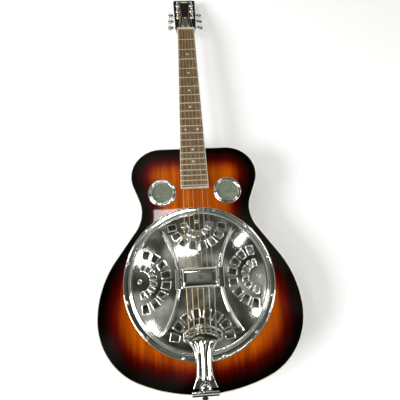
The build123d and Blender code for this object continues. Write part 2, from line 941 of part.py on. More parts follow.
def headstock_outline():
    """The headstock's outline on the headstock plane, flared and square-tipped."""
    half_nut = nut_width / 2
    half_base = headstock_width_base / 2
    half_tip = headstock_width_tip / 2
    with BuildSketch() as outline:
        with BuildLine():
            Line((0, 0), (half_nut, 0))
            Spline(
                (half_nut, 0),
                (half_base, headstock_flare_length),
                tangents=((0.2, 1), (0.15, 1)),
            )
            Line((half_base, headstock_flare_length), (half_tip, headstock_length))
            Line((half_tip, headstock_length), (0, headstock_length))
            Line((0, headstock_length), (0, 0))
        make_face()
        mirror(about=Plane.YZ)
        fillet(
            outline.vertices().filter_by(lambda v: v.Y > headstock_length - 1 and abs(v.X) > 1),
            radius=headstock_corner_radius,
        )
    return outline.sketch


heel_bottom_z = 4.0
heel_sections = [(8.0, 0.96, 62.0), (26.0, 0.8, 36.0), (52.0, 0.65, 24.0)]
heel_foot_share = 0.57
heel_foot_length = 20.0
rod_radius = 3.0
rod_axis_z = -6.2
rod_nut_radius = 3.9
rod_nut_length = 9.0
rod_stop = 24.0
channel_clearance = 0.2
pocket_width = 9.0
pocket_depth = 11.0
pocket_start = 5.0
pocket_end = 30.0
bushing_radius = 4.5
bushing_depth = 10.0
bushing_flange_radius = 6.0
bushing_flange_thickness = 1.5


def tuner_place(number):
    """Side (+1 treble, -1 bass) and distance along the headstock of a string's tuner."""
    side = 1 if number <= 3 else -1
    row = number - 1 if side > 0 else 6 - number
    return side, tuner_first + row * tuner_pitch


tuner_places = [tuner_place(number) for number in string_numbers]
post_centres = [(side * post_x, along) for side, along in tuner_places]


def rod_pocket():
    """The pocket in the headstock that frees the truss rod's nut."""
    with BuildPart() as pocket:
        with BuildSketch(head_plane.offset(veneer_thickness + 1)):
            with Locations((0, (pocket_start + pocket_end) / 2)):
                Rectangle(pocket_width, pocket_end - pocket_start)
        extrude(amount=-(veneer_thickness + 1 + pocket_depth))
    return pocket.part


def rod_channel():
    """The truss rod's channel under the fingerboard."""
    depth = rod_radius - rod_axis_z + channel_clearance
    front = nut_thickness + pocket_start
    rear = rod_stop - 4 - join_distance
    with BuildPart() as channel:
        with BuildSketch(neck_plane):
            with Locations((0, (front + rear) / 2)):
                Rectangle(2 * (rod_radius + channel_clearance), front - rear)
        extrude(amount=-depth)
    return channel.part


def make_neck():
    """The neck in one piece: shaft, heel with its tenon, and headstock."""
    heel_z = nut_base_z + join_distance * sin(neck_slope)
    outline = headstock_outline()
    with BuildPart() as neck:
        add(neck_profile(-nut_thickness, neck_depth_at_nut))
        add(neck_profile(join_distance + 4, neck_depth_at_heel))
        loft()
        for drop, share, length in heel_sections:
            add(heel_profile(heel_z - drop, heel_width * share, length))
        add(heel_profile(heel_bottom_z, heel_width * heel_foot_share, heel_foot_length))
        loft()
        with BuildSketch(Plane.XY.offset(top_z + 20)):
            with Locations((0, body_top_y - 30)):
                Rectangle(2 * heel_width, 60)
        extrude(amount=-body_depth, mode=Mode.SUBTRACT)
        with BuildSketch(Plane.XY.offset(tenon_bottom)):
            with Locations((0, body_top_y - tenon_length / 2 + 1)):
                Rectangle(tenon_width, tenon_length + 2)
        extrude(amount=tenon_depth)
        with BuildSketch(head_plane):
            add(outline)
        extrude(amount=-headstock_thickness)
        add(rod_pocket(), mode=Mode.SUBTRACT)
        add(rod_channel(), mode=Mode.SUBTRACT)
        add(cover_screw_bores(), mode=Mode.SUBTRACT)
        with BuildSketch(head_plane):
            with Locations(*post_centres):
                Circle(bushing_radius + seat_gap)
        extrude(amount=-headstock_thickness - 1, mode=Mode.SUBTRACT)
        with BuildSketch(head_plane.offset(-headstock_thickness)):
            with Locations(*housing_screw_places):
                Circle(housing_screw_radius)
        extrude(amount=housing_screw_length + 1, mode=Mode.SUBTRACT)
    neck.part.label = "neck"
    export_step(neck.part, "parts/neck.step")


def make_truss_rod():
    """The steel rod under the fingerboard, with its adjusting nut in the headstock pocket."""
    rod_end = join_distance - rod_stop
    rod_front = rod_end + nut_thickness + pocket_start
    rod_plane = Plane(
        origin=neck_plane.from_local_coords(Vector(0, -rod_end, rod_axis_z)),
        x_dir=(1, 0, 0),
        z_dir=neck_plane.y_dir,
    )
    with BuildPart() as truss_rod:
        with BuildSketch(rod_plane):
            Circle(rod_radius)
        extrude(amount=rod_front + rod_nut_length)
        with BuildSketch(rod_plane.offset(rod_front + 1)):
            RegularPolygon(rod_nut_radius, 6)
        extrude(amount=rod_nut_length)
    truss_rod.part.label = "truss_rod"
    export_step(truss_rod.part, "parts/truss_rod.step")


cover_screw_places = [(0, 57.5), (-7.0, 13.0), (7.0, 13.0)]
cover_screw_radius = 1.1
cover_screw_length = 7.0
cover_screw_head_radius = 2.2
cover_screw_head_height = 1.1
cover_start = 8.0
cover_end = 62.0
cover_half_width = 10.5
cover_tip_half_width = 5.5
cover_thickness = 1.6


def cover_screw_bores():
    """The pilot holes for the truss rod cover's screws, from above its face into the headstock."""
    with BuildPart() as bores:
        with BuildSketch(head_plane.offset(veneer_thickness + cover_thickness)):
            with Locations(*cover_screw_places):
                Circle(cover_screw_radius)
        extrude(amount=-cover_screw_length)
    return bores.part


def make_truss_rod_cover():
    """The bell-shaped cover over the truss rod's nut, and its screws."""
    face = head_plane.offset(veneer_thickness)
    with BuildPart() as truss_rod_cover:
        with BuildSketch(face):
            with BuildLine():
                Line((0, cover_start), (cover_half_width, cover_start))
                Spline(
                    (cover_half_width, cover_start),
                    (cover_tip_half_width + 1.5, (cover_start + cover_end) / 2),
                    (cover_tip_half_width, cover_end),
                    tangents=((0.1, 1), (0, 1)),
                )
                Line((cover_tip_half_width, cover_end), (0, cover_end))
                Line((0, cover_end), (0, cover_start))
            make_face()
            mirror(about=Plane.YZ)
        extrude(amount=cover_thickness)
        add(cover_screw_bores(), mode=Mode.SUBTRACT)
    truss_rod_cover.part.label = "truss_rod_cover"
    export_step(truss_rod_cover.part, "parts/truss_rod_cover.step")
    with BuildPart() as truss_cover_screws:
        with BuildSketch(face.offset(cover_thickness)):
            with Locations(*cover_screw_places):
                Circle(cover_screw_head_radius)
        extrude(amount=cover_screw_head_height)
        add(cover_screw_bores())
    truss_cover_screws.part.label = "truss_cover_screws"
    export_step(truss_cover_screws.part, "parts/truss_cover_screws.step")


inlay_along = headstock_length - 10
inlay_half_width = 16.0
inlay_half_length = 6.5
inlay_thickness = 0.8


def inlay_outline():
    """The plain lozenge across the headstock's tip."""
    with BuildSketch() as lozenge:
        with BuildLine():
            Polyline(
                (inlay_half_width, inlay_along),
                (0, inlay_along + inlay_half_length),
                (-inlay_half_width, inlay_along),
                (0, inlay_along - inlay_half_length),
                close=True,
            )
        make_face()
    return lozenge.sketch


def make_headstock_veneer():
    """The black face veneer with its holes and the recess for the inlay, and the inlay itself."""
    lozenge = inlay_outline()
    outline = headstock_outline()
    face = head_plane.offset(veneer_thickness)
    with BuildPart() as headstock_veneer:
        with BuildSketch(head_plane):
            add(outline)
            with Locations(*post_centres):
                Circle(bushing_radius + seat_gap, mode=Mode.SUBTRACT)
        extrude(amount=veneer_thickness)
        with BuildSketch(face):
            add(lozenge)
        extrude(amount=-inlay_thickness, mode=Mode.SUBTRACT)
        add(rod_pocket(), mode=Mode.SUBTRACT)
        add(cover_screw_bores(), mode=Mode.SUBTRACT)
    headstock_veneer.part.label = "headstock_veneer"
    export_step(headstock_veneer.part, "parts/headstock_veneer.step")
    with BuildPart() as headstock_inlay:
        with BuildSketch(face):
            add(lozenge)
        extrude(amount=-inlay_thickness)
    headstock_inlay.part.label = "headstock_inlay"
    export_step(headstock_inlay.part, "parts/headstock_inlay.step")


edge_binding = 1.5
dot_radius = 3.0
dot_thickness = 1.0
single_dots = [3, 5, 7, 9, 15, 17]
double_dot = 12


def board_outline(inset):
    """The fingerboard's outline on the neck plane, drawn in at its sides and its body end."""
    end = fingerboard_length - inset
    half_nut = board_width(0) / 2 - inset
    half_end = board_width(end) / 2 - inset
    with BuildSketch() as board:
        with BuildLine():
            Polyline(
                (half_nut, 0), (half_end, -end), (-half_end, -end), (-half_nut, 0), close=True
            )
        make_face()
    return board.sketch


def dot_places():
    """Centres of the position dots, midway between two frets."""
    places = []
    for fret in single_dots:
        places.append((0, -(fret_distance(fret) + fret_distance(fret - 1)) / 2))
    middle = -(fret_distance(double_dot) + fret_distance(double_dot - 1)) / 2
    spread = board_width(-middle) / 4
    places.append((-spread, middle))
    places.append((spread, middle))
    return places


def make_fingerboard():
    """The fingerboard, its edge binding and its pearl dots."""
    inner = board_outline(edge_binding)
    outer = board_outline(0)
    top = neck_plane.offset(fingerboard_thickness)
    with BuildPart() as fingerboard:
        with BuildSketch(neck_plane):
            add(inner)
        extrude(amount=fingerboard_thickness)
        with BuildSketch(top):
            with Locations(*dot_places()):
                Circle(dot_radius)
        extrude(amount=-dot_thickness, mode=Mode.SUBTRACT)
    fingerboard.part.label = "fingerboard"
    export_step(fingerboard.part, "parts/fingerboard.step")
    with BuildPart() as fingerboard_binding:
        with BuildSketch(neck_plane):
            add(outer)
            add(inner, mode=Mode.SUBTRACT)
        extrude(amount=fingerboard_thickness)
    fingerboard_binding.part.label = "fingerboard_binding"
    export_step(fingerboard_binding.part, "parts/fingerboard_binding.step")
    with BuildPart() as position_dots:
        with BuildSketch(top):
            with Locations(*dot_places()):
                Circle(dot_radius)
        extrude(amount=-dot_thickness)
    position_dots.part.label = "position_dots"
    export_step(position_dots.part, "parts/position_dots.step")


def make_frets():
    """The crowned fret wires, one across each fret line."""
    with BuildPart() as frets:
        for fret in range(1, fret_count + 1):
            distance = fret_distance(fret)
            across = Plane(
                origin=neck_plane.from_local_coords(Vector(0, -distance, fingerboard_thickness)),
                x_dir=neck_plane.y_dir,
                z_dir=(1, 0, 0),
            )
            with BuildSketch(across):
                with BuildLine():
                    ThreePointArc((-fret_width / 2, 0), (0, fret_height), (fret_width / 2, 0))
                    Line((fret_width / 2, 0), (-fret_width / 2, 0))
                make_face()
            extrude(amount=board_width(distance) / 2 - 0.3, both=True)
    frets.part.label = "frets"
    export_step(frets.part, "parts/frets.step")


def make_nut():
    """The nut, grooved for the strings."""
    with BuildPart() as nut:
        with BuildSketch(neck_plane):
            with Locations((0, nut_thickness / 2)):
                Rectangle(nut_width, nut_thickness)
        extrude(amount=string_rest_z + 0.7)
        for number in string_numbers:
            add(string_groove(number), mode=Mode.SUBTRACT)
    nut.part.label = "nut"
    export_step(nut.part, "parts/nut.step")


def make_extension_wedge():
    """The wedge that carries the fingerboard over the soundboard."""
    start = join_distance + 4
    end = fingerboard_length - 3
    near = neck_plane.from_local_coords(Vector(0, -start, 0))
    far = neck_plane.from_local_coords(Vector(0, -end, 0))
    with BuildPart() as extension_wedge:
        with BuildSketch(Plane.YZ):
            with BuildLine():
                Polyline(
                    (near.Y, top_z), (near.Y, near.Z), (far.Y, far.Z), (far.Y, top_z), close=True
                )
            make_face()
        extrude(amount=board_width(join_distance) / 2 - 3, both=True)
    extension_wedge.part.label = "extension_wedge"
    export_step(extension_wedge.part, "parts/extension_wedge.step")


# ---------------------------------------------------------------- strings
wrap_height = veneer_thickness + 3.2
string_wrap_step = 1.0
ball_radius = 1.7
ball_length = 3.6
comb_plane_run = comb_front_y - (tail_y + 12)
comb_bottom_z = top_z + dome_height(-comb_front_y) + band_height + 1.2
stem_bottom_z = hinge_z - hinge_barrel_radius + 1.2
comb_slope = atan2(comb_bottom_z - stem_bottom_z, comb_plane_run)
comb_plane = Plane(
    origin=(0, comb_front_y, comb_bottom_z),
    x_dir=(1, 0, 0),
    z_dir=(0, -sin(comb_slope), cos(comb_slope)),
)
comb_string_height = 4.5
comb_rear = -comb_depth - 10
ball_arc_radius = comb_arc_radius - 13.0


def string_x(number, spread):
    """Place of a string across the neck, at a line where the outer strings are spread apart."""
    return spread * (3.5 - number) / 5


def string_radius(number):
    """Radius of a string, 1 the thinnest."""
    return string_diameters[number - 1] / 2


def ball_place(number):
    """Centre of a string's ball end, on an arc behind the tailpiece's front edge."""
    x = string_x(number, string_spread_comb)
    y = sqrt(ball_arc_radius**2 - x**2) - comb_arc_radius
    return comb_plane.from_local_coords(Vector(x, y, comb_string_height))


def string_points(number):
    """The string's centre line from its tuner post over the nut and the saddle to its ball."""
    radius = string_radius(number)
    side, along = tuner_place(number)
    row = (along - tuner_first) / tuner_pitch
    beside_wraps = post_x - post_radius - 3 * radius - seat_gap
    height = wrap_height + row * string_wrap_step + radius
    post = head_plane.from_local_coords(Vector(side * beside_wraps, along, height))
    nut = neck_plane.from_local_coords(
        Vector(string_x(number, string_spread_nut), 1.0, string_rest_z + radius)
    )
    saddle = Vector(string_x(number, string_spread_bridge), 0, string_seat_z + radius)
    return [post, nut, saddle, ball_place(number)]


def run_plane(start, end):
    """The plane across a straight run of string, with its Y pointing up."""
    run = end - start
    return Plane(origin=start, x_dir=Vector(0, 0, 1).cross(run), z_dir=run)


def string_groove(number):
    """The open groove that a string needs where it bends over the nut and the saddle."""
    points = string_points(number)
    half = string_radius(number) + seat_gap
    with BuildPart() as groove:
        for start, end in zip(points[:3], points[1:]):
            with BuildSketch(run_plane(start, end)):
                with Locations((0, 3 - half)):
                    Rectangle(2 * half, 6)
            extrude(amount=(end - start).length)
    return groove.part


def make_strings():
    """The six strings, each bent over the nut and the saddle, with a ball at its tail end."""
    for number in string_numbers:
        points = string_points(number)
        radius = string_radius(number)
        with BuildPart() as string:
            with BuildLine() as route:
                Polyline(*points)
            with BuildSketch(run_plane(points[0], points[1])):
                Circle(radius)
            sweep(path=route.wires()[0], transition=Transition.RIGHT)
            with BuildSketch(Plane(origin=points[3], x_dir=(0, 1, 0), z_dir=(1, 0, 0))):
                Circle(ball_radius)
            extrude(amount=ball_length / 2, both=True)
        string.part.label = f"string_{number}"
        export_step(string.part, f"parts/string_{number}.step")


# ---------------------------------------------------------------- tailpiece
def comb_outline():
    """The comb in plan: an arched front edge, straight sides and a straight rear edge."""
    front_x = comb_half_width
    front_y = sqrt(comb_arc_radius**2 - front_x**2) - comb_arc_radius
    ThreePointArc((-front_x, front_y), (0, 0), (front_x, front_y))
    Polyline(
        (front_x, front_y),
        (front_x, comb_rear),
        (-front_x, comb_rear),
        (-front_x, front_y),
    )


def stem_outline():
    """The right half of the tailpiece's stem: shoulders, waist, flare and hinge tongue."""
    hinge_along = (comb_front_y - hinge_y) / cos(comb_slope)
    flare = -hinge_along + 8
    shoulder_x = comb_half_width - comb_shoulder
    Line((0, comb_rear + 4), (shoulder_x, comb_rear + 4))
    Line((shoulder_x, comb_rear + 4), (shoulder_x, comb_rear))
    Spline(
        (shoulder_x, comb_rear),
        (stem_half_width + 3, comb_rear - 20),
        (stem_half_width, comb_rear - 44),
        (stem_end_half_width, flare),
        tangents=((-0.6, -1), (0.3, -1)),
    )
    Polyline(
        (stem_end_half_width, flare),
        (hinge_knuckle_half - gap, flare - 3.5),
        (hinge_knuckle_half - gap, -hinge_along),
        (0, -hinge_along),
    )
    Line((0, -hinge_along), (0, comb_rear + 4))


def comb_slot(number):
    """The open slot for a string and the pocket for its ball, deep enough for the hinge's play."""
    x = string_x(number, string_spread_comb)
    ball_y = sqrt(ball_arc_radius**2 - x**2) - comb_arc_radius
    slot_floor = comb_string_height - string_radius(number) - tailpiece_play
    pocket_floor = comb_string_height - ball_radius - tailpiece_play
    with BuildPart() as slot:
        with BuildSketch(comb_plane.offset(slot_floor)):
            with Locations((x, (ball_y + 5) / 2)):
                Rectangle(2 * string_radius(number) + 1.0, 5 - ball_y)
        extrude(amount=20)
        with BuildSketch(comb_plane.offset(pocket_floor)):
            with Locations((x, ball_y)):
                Rectangle(ball_length + 0.8, 2 * ball_radius + 1.2)
        extrude(amount=20)
    return slot.part


def make_tailpiece():
    """The cast tailpiece: ridged comb, fluted stem, boss and hinge knuckle."""
    hinge_plane = Plane(origin=(0, hinge_y, hinge_z), x_dir=(0, 1, 0), z_dir=(1, 0, 0))
    boss_along = tail_y + boss_inset - comb_front_y
    with BuildPart() as tailpiece:
        with BuildSketch(comb_plane):
            with BuildLine():
                comb_outline()
            make_face()
        extrude(amount=comb_thickness)
        with BuildSketch(comb_plane):
            with Locations((0, -comb_arc_radius)):
                for ridge in range(3):
                    radius = comb_arc_radius - 1.6 - ridge * comb_ridge_pitch
                    Circle(radius)
                    Circle(radius - comb_ridge_width, mode=Mode.SUBTRACT)
            with BuildLine():
                comb_outline()
            make_face(mode=Mode.INTERSECT)
        extrude(amount=comb_thickness + comb_ridge_height)
        with BuildSketch(comb_plane):
            with BuildLine():
                stem_outline()
            make_face()
            mirror(about=Plane.YZ)
        extrude(amount=stem_thickness)
        with BuildSketch(comb_plane.offset(stem_thickness)):
            with Locations((0, boss_along)):
                Circle(boss_radius)
        extrude(amount=boss_height)
        with BuildSketch(hinge_plane):
            Circle(hinge_barrel_radius)
        extrude(amount=hinge_knuckle_half - gap, both=True)
        with BuildSketch(hinge_plane):
            Circle(hinge_pin_radius + running_clearance)
        extrude(amount=40, both=True, mode=Mode.SUBTRACT)
        for number in string_numbers:
            add(comb_slot(number), mode=Mode.SUBTRACT)
    tailpiece.part.label = "tailpiece"
    export_step(tailpiece.part, "parts/tailpiece.step")


def make_tail_bracket():
    """The bracket over the body's tail edge, with the hinge's two outer knuckles."""
    plate_outer = tail_y - bracket_thickness
    hinge_plane = Plane(origin=(0, hinge_y, hinge_z), x_dir=(0, 1, 0), z_dir=(1, 0, 0))
    knuckle_middle = (hinge_knuckle_half + hinge_half_length) / 2
    knuckle_length = hinge_half_length - hinge_knuckle_half
    with BuildPart() as tail_bracket:
        with BuildSketch(Plane.XY.offset(bracket_bottom_z)):
            with Locations((0, plate_outer + 3)):
                Rectangle(2 * bracket_half_width, 6)
        extrude(amount=top_z + bracket_thickness - bracket_bottom_z)
        with BuildSketch(Plane.XY.offset(top_z)):
            with Locations((0, hinge_y)):
                Rectangle(2 * bracket_half_width, 2 * hinge_barrel_radius)
        extrude(amount=bracket_thickness)
        with BuildSketch(Plane.XY.offset(top_z)):
            with Locations((-knuckle_middle, hinge_y), (knuckle_middle, hinge_y)):
                Rectangle(knuckle_length, 2 * hinge_barrel_radius)
        extrude(amount=hinge_z - top_z)
        for side in (-1, 1):
            with BuildSketch(hinge_plane.offset(side * knuckle_middle)):
                Circle(hinge_barrel_radius)
            extrude(amount=knuckle_length / 2, both=True)
        with BuildSketch(hinge_plane):
            Circle(hinge_pin_radius)
        extrude(amount=40, both=True, mode=Mode.SUBTRACT)
        add(body_prism(0, 0, top_z), mode=Mode.SUBTRACT)
        add(end_button_bore(), mode=Mode.SUBTRACT)
        add(bracket_screw_bores(), mode=Mode.SUBTRACT)
    tail_bracket.part.label = "tail_bracket"
    export_step(tail_bracket.part, "parts/tail_bracket.step")
    with BuildPart() as hinge_pin:
        with BuildSketch(hinge_plane):
            Circle(hinge_pin_radius)
        extrude(amount=hinge_half_length + 0.6, both=True)
    hinge_pin.part.label = "hinge_pin"
    export_step(hinge_pin.part, "parts/hinge_pin.step")
    with BuildPart() as bracket_screws:
        with BuildSketch(Plane.XZ.offset(-plate_outer)):
            with Locations(*bracket_screw_places):
                Circle(3.0)
        extrude(amount=1.6)
        with BuildSketch(Plane.XZ.offset(-plate_outer)):
            with Locations(*bracket_screw_places):
                Circle(bracket_screw_radius)
        extrude(amount=-bracket_thickness - bracket_screw_length)
    bracket_screws.part.label = "bracket_screws"
    export_step(bracket_screws.part, "parts/bracket_screws.step")


def make_end_button():
    """The turned button in the tail end, for a strap."""
    collar_y = tail_y - bracket_thickness
    rim_y = collar_y - button_end_length + button_crown
    middle = button_rim_radius / 2
    middle_y = rim_y - cap_height(button_rim_radius, button_crown, middle)
    with BuildPart() as end_button:
        with BuildSketch(Plane.YZ):
            with BuildLine():
                Polyline(
                    (tail_y + button_shank_length, end_button_z),
                    (tail_y + button_shank_length, end_button_z + button_shank_radius),
                    (collar_y, end_button_z + button_shank_radius),
                    (collar_y, end_button_z + button_collar_radius),
                    (collar_y - 2.5, end_button_z + button_collar_radius),
                )
                Spline(
                    (collar_y - 2.5, end_button_z + button_collar_radius),
                    (collar_y - 6, end_button_z + button_groove_radius),
                    (rim_y, end_button_z + button_rim_radius),
                )
                ThreePointArc(
                    (rim_y, end_button_z + button_rim_radius),
                    (middle_y, end_button_z + middle),
                    (rim_y - button_crown, end_button_z),
                )
                Line((rim_y - button_crown, end_button_z), (tail_y + button_shank_length, end_button_z))
            make_face()
        revolve(axis=Axis((0, 0, end_button_z), (0, 1, 0)))
    end_button.part.label = "end_button"
    export_step(end_button.part, "parts/end_button.step")


# ---------------------------------------------------------------- tuners
worm_offset = gear_radius + mesh_clearance + worm_radius
housing_half_width = gear_radius + cavity_clearance + housing_wall + 0.3
shaft_depth = headstock_thickness + housing_height / 2
housing_front = gear_radius + cavity_clearance + housing_wall
housing_back = worm_offset + worm_radius + cavity_clearance + housing_wall
housing_screw_places = [
    (side * post_x, along - housing_back - tab_length / 2) for side, along in tuner_places
]


def make_tuner_housings():
    """The closed gear housings under the headstock, hollow for the gear and the worm."""
    under = head_plane.offset(-headstock_thickness)
    cavity_top = under.offset(-housing_wall)
    cavity_height = housing_height - 2 * housing_wall
    with BuildPart() as tuner_housings:
        with BuildSketch(under):
            for side, along in tuner_places:
                with Locations((side * post_x, along + (housing_front - housing_back) / 2)):
                    RectangleRounded(
                        2 * housing_half_width, housing_front + housing_back, housing_half_width / 2
                    )
        extrude(amount=-housing_height)
        with BuildSketch(under):
            for side, along in tuner_places:
                with Locations((side * post_x, along - housing_back - tab_length / 2 + 1)):
                    RectangleRounded(8, tab_length + 2, 2)
        extrude(amount=-tab_thickness)
        with BuildSketch(cavity_top):
            with Locations(*post_centres):
                Circle(gear_radius + cavity_clearance)
        extrude(amount=-cavity_height, mode=Mode.SUBTRACT)
        with BuildSketch(under):
            with Locations(*post_centres):
                Circle(post_radius + running_clearance)
        extrude(amount=-housing_wall, mode=Mode.SUBTRACT)
        with BuildSketch(under):
            with Locations(*housing_screw_places):
                Circle(housing_screw_radius)
        extrude(amount=-tab_thickness, mode=Mode.SUBTRACT)
        for side, along in tuner_places:
            worm_plane = shaft_plane(side, along)
            with BuildSketch(worm_plane):
                Circle(worm_radius + cavity_clearance)
            extrude(amount=worm_half_length + 0.4, both=True, mode=Mode.SUBTRACT)
            with BuildSketch(worm_plane):
                Circle(shaft_radius + running_clearance)
            extrude(amount=housing_half_width + 2, mode=Mode.SUBTRACT)
    tuner_housings.part.label = "tuner_housings"
    export_step(tuner_housings.part, "parts/tuner_housings.step")


def shaft_plane(side, along):
    """The plane across a tuner's button shaft, at the worm's middle, pointing outwards."""
    origin = head_plane.from_local_coords(
        Vector(side * post_x, along - worm_offset, -shaft_depth)
    )
    return Plane(origin=origin, x_dir=head_plane.y_dir, z_dir=(side, 0, 0))


def make_tuner_screws():
    """The small screws that hold the housings' tabs."""
    under = head_plane.offset(-headstock_thickness - tab_thickness)
    with BuildPart() as tuner_screws:
        with BuildSketch(under):
            with Locations(*housing_screw_places):
                Circle(2.2)
        extrude(amount=-1.3)
        with BuildSketch(under):
            with Locations(*housing_screw_places):
                Circle(housing_screw_radius)
        extrude(amount=tab_thickness + housing_screw_length)
    tuner_screws.part.label = "tuner_screws"
    export_step(tuner_screws.part, "parts/tuner_screws.step")


def make_tuner_bushings():
    """The flanged bushings that guide the posts through the headstock."""
    face = head_plane.offset(veneer_thickness)
    with BuildPart() as tuner_bushings:
        with BuildSketch(face):
            with Locations(*post_centres):
                Circle(bushing_flange_radius)
        extrude(amount=bushing_flange_thickness)
        with BuildSketch(face):
            with Locations(*post_centres):
                Circle(bushing_radius)
        extrude(amount=-bushing_depth)
        with BuildSketch(face.offset(bushing_flange_thickness)):
            with Locations(*post_centres):
                Circle(post_radius + running_clearance)
        extrude(amount=-2 * bushing_depth, mode=Mode.SUBTRACT)
    tuner_bushings.part.label = "tuner_bushings"
    export_step(tuner_bushings.part, "parts/tuner_bushings.step")


def make_tuner_posts():
    """Each string post with its gear below and the string's wraps above."""
    gear_top = -headstock_thickness - (housing_height - gear_thickness) / 2
    for number, (side, along) in zip(string_numbers, tuner_places):
        radius = string_radius(number)
        row = (along - tuner_first) / tuner_pitch
        first_wrap = wrap_height + row * string_wrap_step + radius
        post_plane = Plane(
            origin=head_plane.from_local_coords(Vector(side * post_x, along, 0)),
            x_dir=(1, 0, 0),
            z_dir=head_plane.z_dir,
        )
        with BuildPart() as tuner_post:
            with BuildSketch(post_plane.offset(gear_top - gear_thickness - 0.8)):
                Circle(post_radius)
            extrude(amount=post_height + veneer_thickness - gear_top + gear_thickness + 0.8)
            with BuildSketch(post_plane.offset(gear_top - gear_thickness)):
                Circle(gear_radius)
            extrude(amount=gear_thickness)
            for turn in range(3):
                with BuildSketch(post_plane.offset(first_wrap + (2 * turn - 1) * radius)):
                    Circle(post_radius + 2 * radius)
                extrude(amount=2 * radius)
            with BuildSketch(post_plane.offset(veneer_thickness + post_height)):
                Rectangle(2 * post_radius + 1, 1.2)
            extrude(amount=-2.5, mode=Mode.SUBTRACT)
        tuner_post.part.label = f"tuner_post_{number}"
        export_step(tuner_post.part, f"parts/tuner_post_{number}.step")


def make_tuner_buttons():
    """Each tuner button with its shaft and worm."""
    for number, (side, along) in zip(string_numbers, tuner_places):
        plane = shaft_plane(side, along)
        knob_start = button_reach - button_length - post_x
        with BuildPart() as tuner_button:
            with BuildSketch(plane):
                Circle(worm_radius)
            extrude(amount=worm_half_length, both=True)
            with BuildSketch(plane):
                Circle(shaft_radius)
            extrude(amount=knob_start + 3)
            with BuildSketch(plane.offset(housing_half_width + gap)):
                Circle(collar_radius)
            extrude(amount=knob_start - housing_half_width - gap)
            with BuildSketch(plane.offset(knob_start)):
                SlotOverall(button_width, button_thickness)
            extrude(amount=button_length)
            fillet(
                tuner_button.faces().sort_by(Axis.X)[-1 if side > 0 else 0].edges(), radius=2.5
            )
        tuner_button.part.label = f"tuner_button_{number}"
        export_step(tuner_button.part, f"parts/tuner_button_{number}.step")


def main():
    """Build every piece."""
    make_sides()
    make_soundboard()
    make_back()
    make_bindings()
    make_linings()
    make_blocks()
    make_braces()
    make_soundwell()
    make_cone()
    make_spider()
    make_tension_screw()
    make_coverplate()
    make_handrest()
    make_saddles()
    make_coverplate_screws()
    make_screens()
    make_neck()
    make_truss_rod()
    make_truss_rod_cover()
    make_headstock_veneer()
    make_fingerboard()
    make_frets()
    make_nut()
    make_extension_wedge()
    make_strings()
    make_tailpiece()
    make_tail_bracket()
    make_end_button()
    make_tuner_housings()
    make_tuner_screws()
    make_tuner_bushings()
    make_tuner_posts()
    make_tuner_buttons()


main()
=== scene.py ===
"""Resonator guitar: the looks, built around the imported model.

The guitar lies on its flat back. +Z rises out of the soundboard, +Y runs towards the headstock and
+X towards the treble side. Sizes are in millimetres here and become metres when a mesh is made.
"""

import logging
from dataclasses import dataclass, field
from enum import Enum
from math import acos, atan2, cos, hypot, pi, radians, sin, sqrt
from typing import Callable, Sequence

import bmesh
import bpy
import numpy as np
from bpy.types import Material, Mesh, Node, NodeSocket, NodeTree, Object
from mathutils import Matrix, Vector
from mathutils.geometry import delaunay_2d_cdt
from mathutils.kdtree import KDTree


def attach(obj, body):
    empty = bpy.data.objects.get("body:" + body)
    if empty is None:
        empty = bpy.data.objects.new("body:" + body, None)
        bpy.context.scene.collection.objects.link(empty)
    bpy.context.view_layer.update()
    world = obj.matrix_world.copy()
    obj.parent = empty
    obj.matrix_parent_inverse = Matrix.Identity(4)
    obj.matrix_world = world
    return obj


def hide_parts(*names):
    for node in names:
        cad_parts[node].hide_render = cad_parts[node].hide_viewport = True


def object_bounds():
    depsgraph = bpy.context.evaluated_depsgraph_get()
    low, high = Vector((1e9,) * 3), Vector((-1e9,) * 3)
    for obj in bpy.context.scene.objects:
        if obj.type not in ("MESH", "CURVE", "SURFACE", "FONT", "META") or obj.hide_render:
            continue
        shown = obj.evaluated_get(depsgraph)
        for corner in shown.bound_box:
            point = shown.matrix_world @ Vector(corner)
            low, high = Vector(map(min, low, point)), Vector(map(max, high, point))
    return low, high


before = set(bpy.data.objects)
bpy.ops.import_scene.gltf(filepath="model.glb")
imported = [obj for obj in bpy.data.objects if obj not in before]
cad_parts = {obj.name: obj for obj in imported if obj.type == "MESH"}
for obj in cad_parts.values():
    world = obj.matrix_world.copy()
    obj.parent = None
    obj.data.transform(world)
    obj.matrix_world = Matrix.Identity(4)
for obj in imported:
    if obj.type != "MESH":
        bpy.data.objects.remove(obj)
cad_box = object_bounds()

MM = 0.001
SAME_POINT = 1e-7
HEX_ROW = 0.866
log = logging.getLogger("guitar")


# ---- shared sizes
class Side(Enum):
    """The two sides of the guitar, by their sign along X."""

    BASS = -1
    TREBLE = 1


@dataclass(frozen=True)
class LocalFrame:
    """A tilted plane's own axes: X across the guitar, Y along it and Z out of it."""

    origin: tuple[float, float, float]
    slope: float

    def at(self, points: np.ndarray) -> np.ndarray:
        """Turn points on this plane into the guitar's own frame.

        Args:
            points: One row of x, y, z for each point, in millimetres.
        Returns:
            The same points in the guitar's frame.
        """
        p = np.asarray(points, float).reshape(-1, 3)
        turned = np.empty_like(p)
        turned[:, 0] = p[:, 0]
        turned[:, 1] = p[:, 1] * cos(self.slope) + p[:, 2] * sin(self.slope)
        turned[:, 2] = -p[:, 1] * sin(self.slope) + p[:, 2] * cos(self.slope)
        return turned + np.array(self.origin)

    def matrix(self, x: float, y: float, z: float) -> Matrix:
        """The place of a small part on this plane, as a matrix in metres."""
        place = self.at(np.array([x, y, z]))[0] * MM
        return Matrix.Translation(Vector(place)) @ Matrix.Rotation(-self.slope, 4, "X")


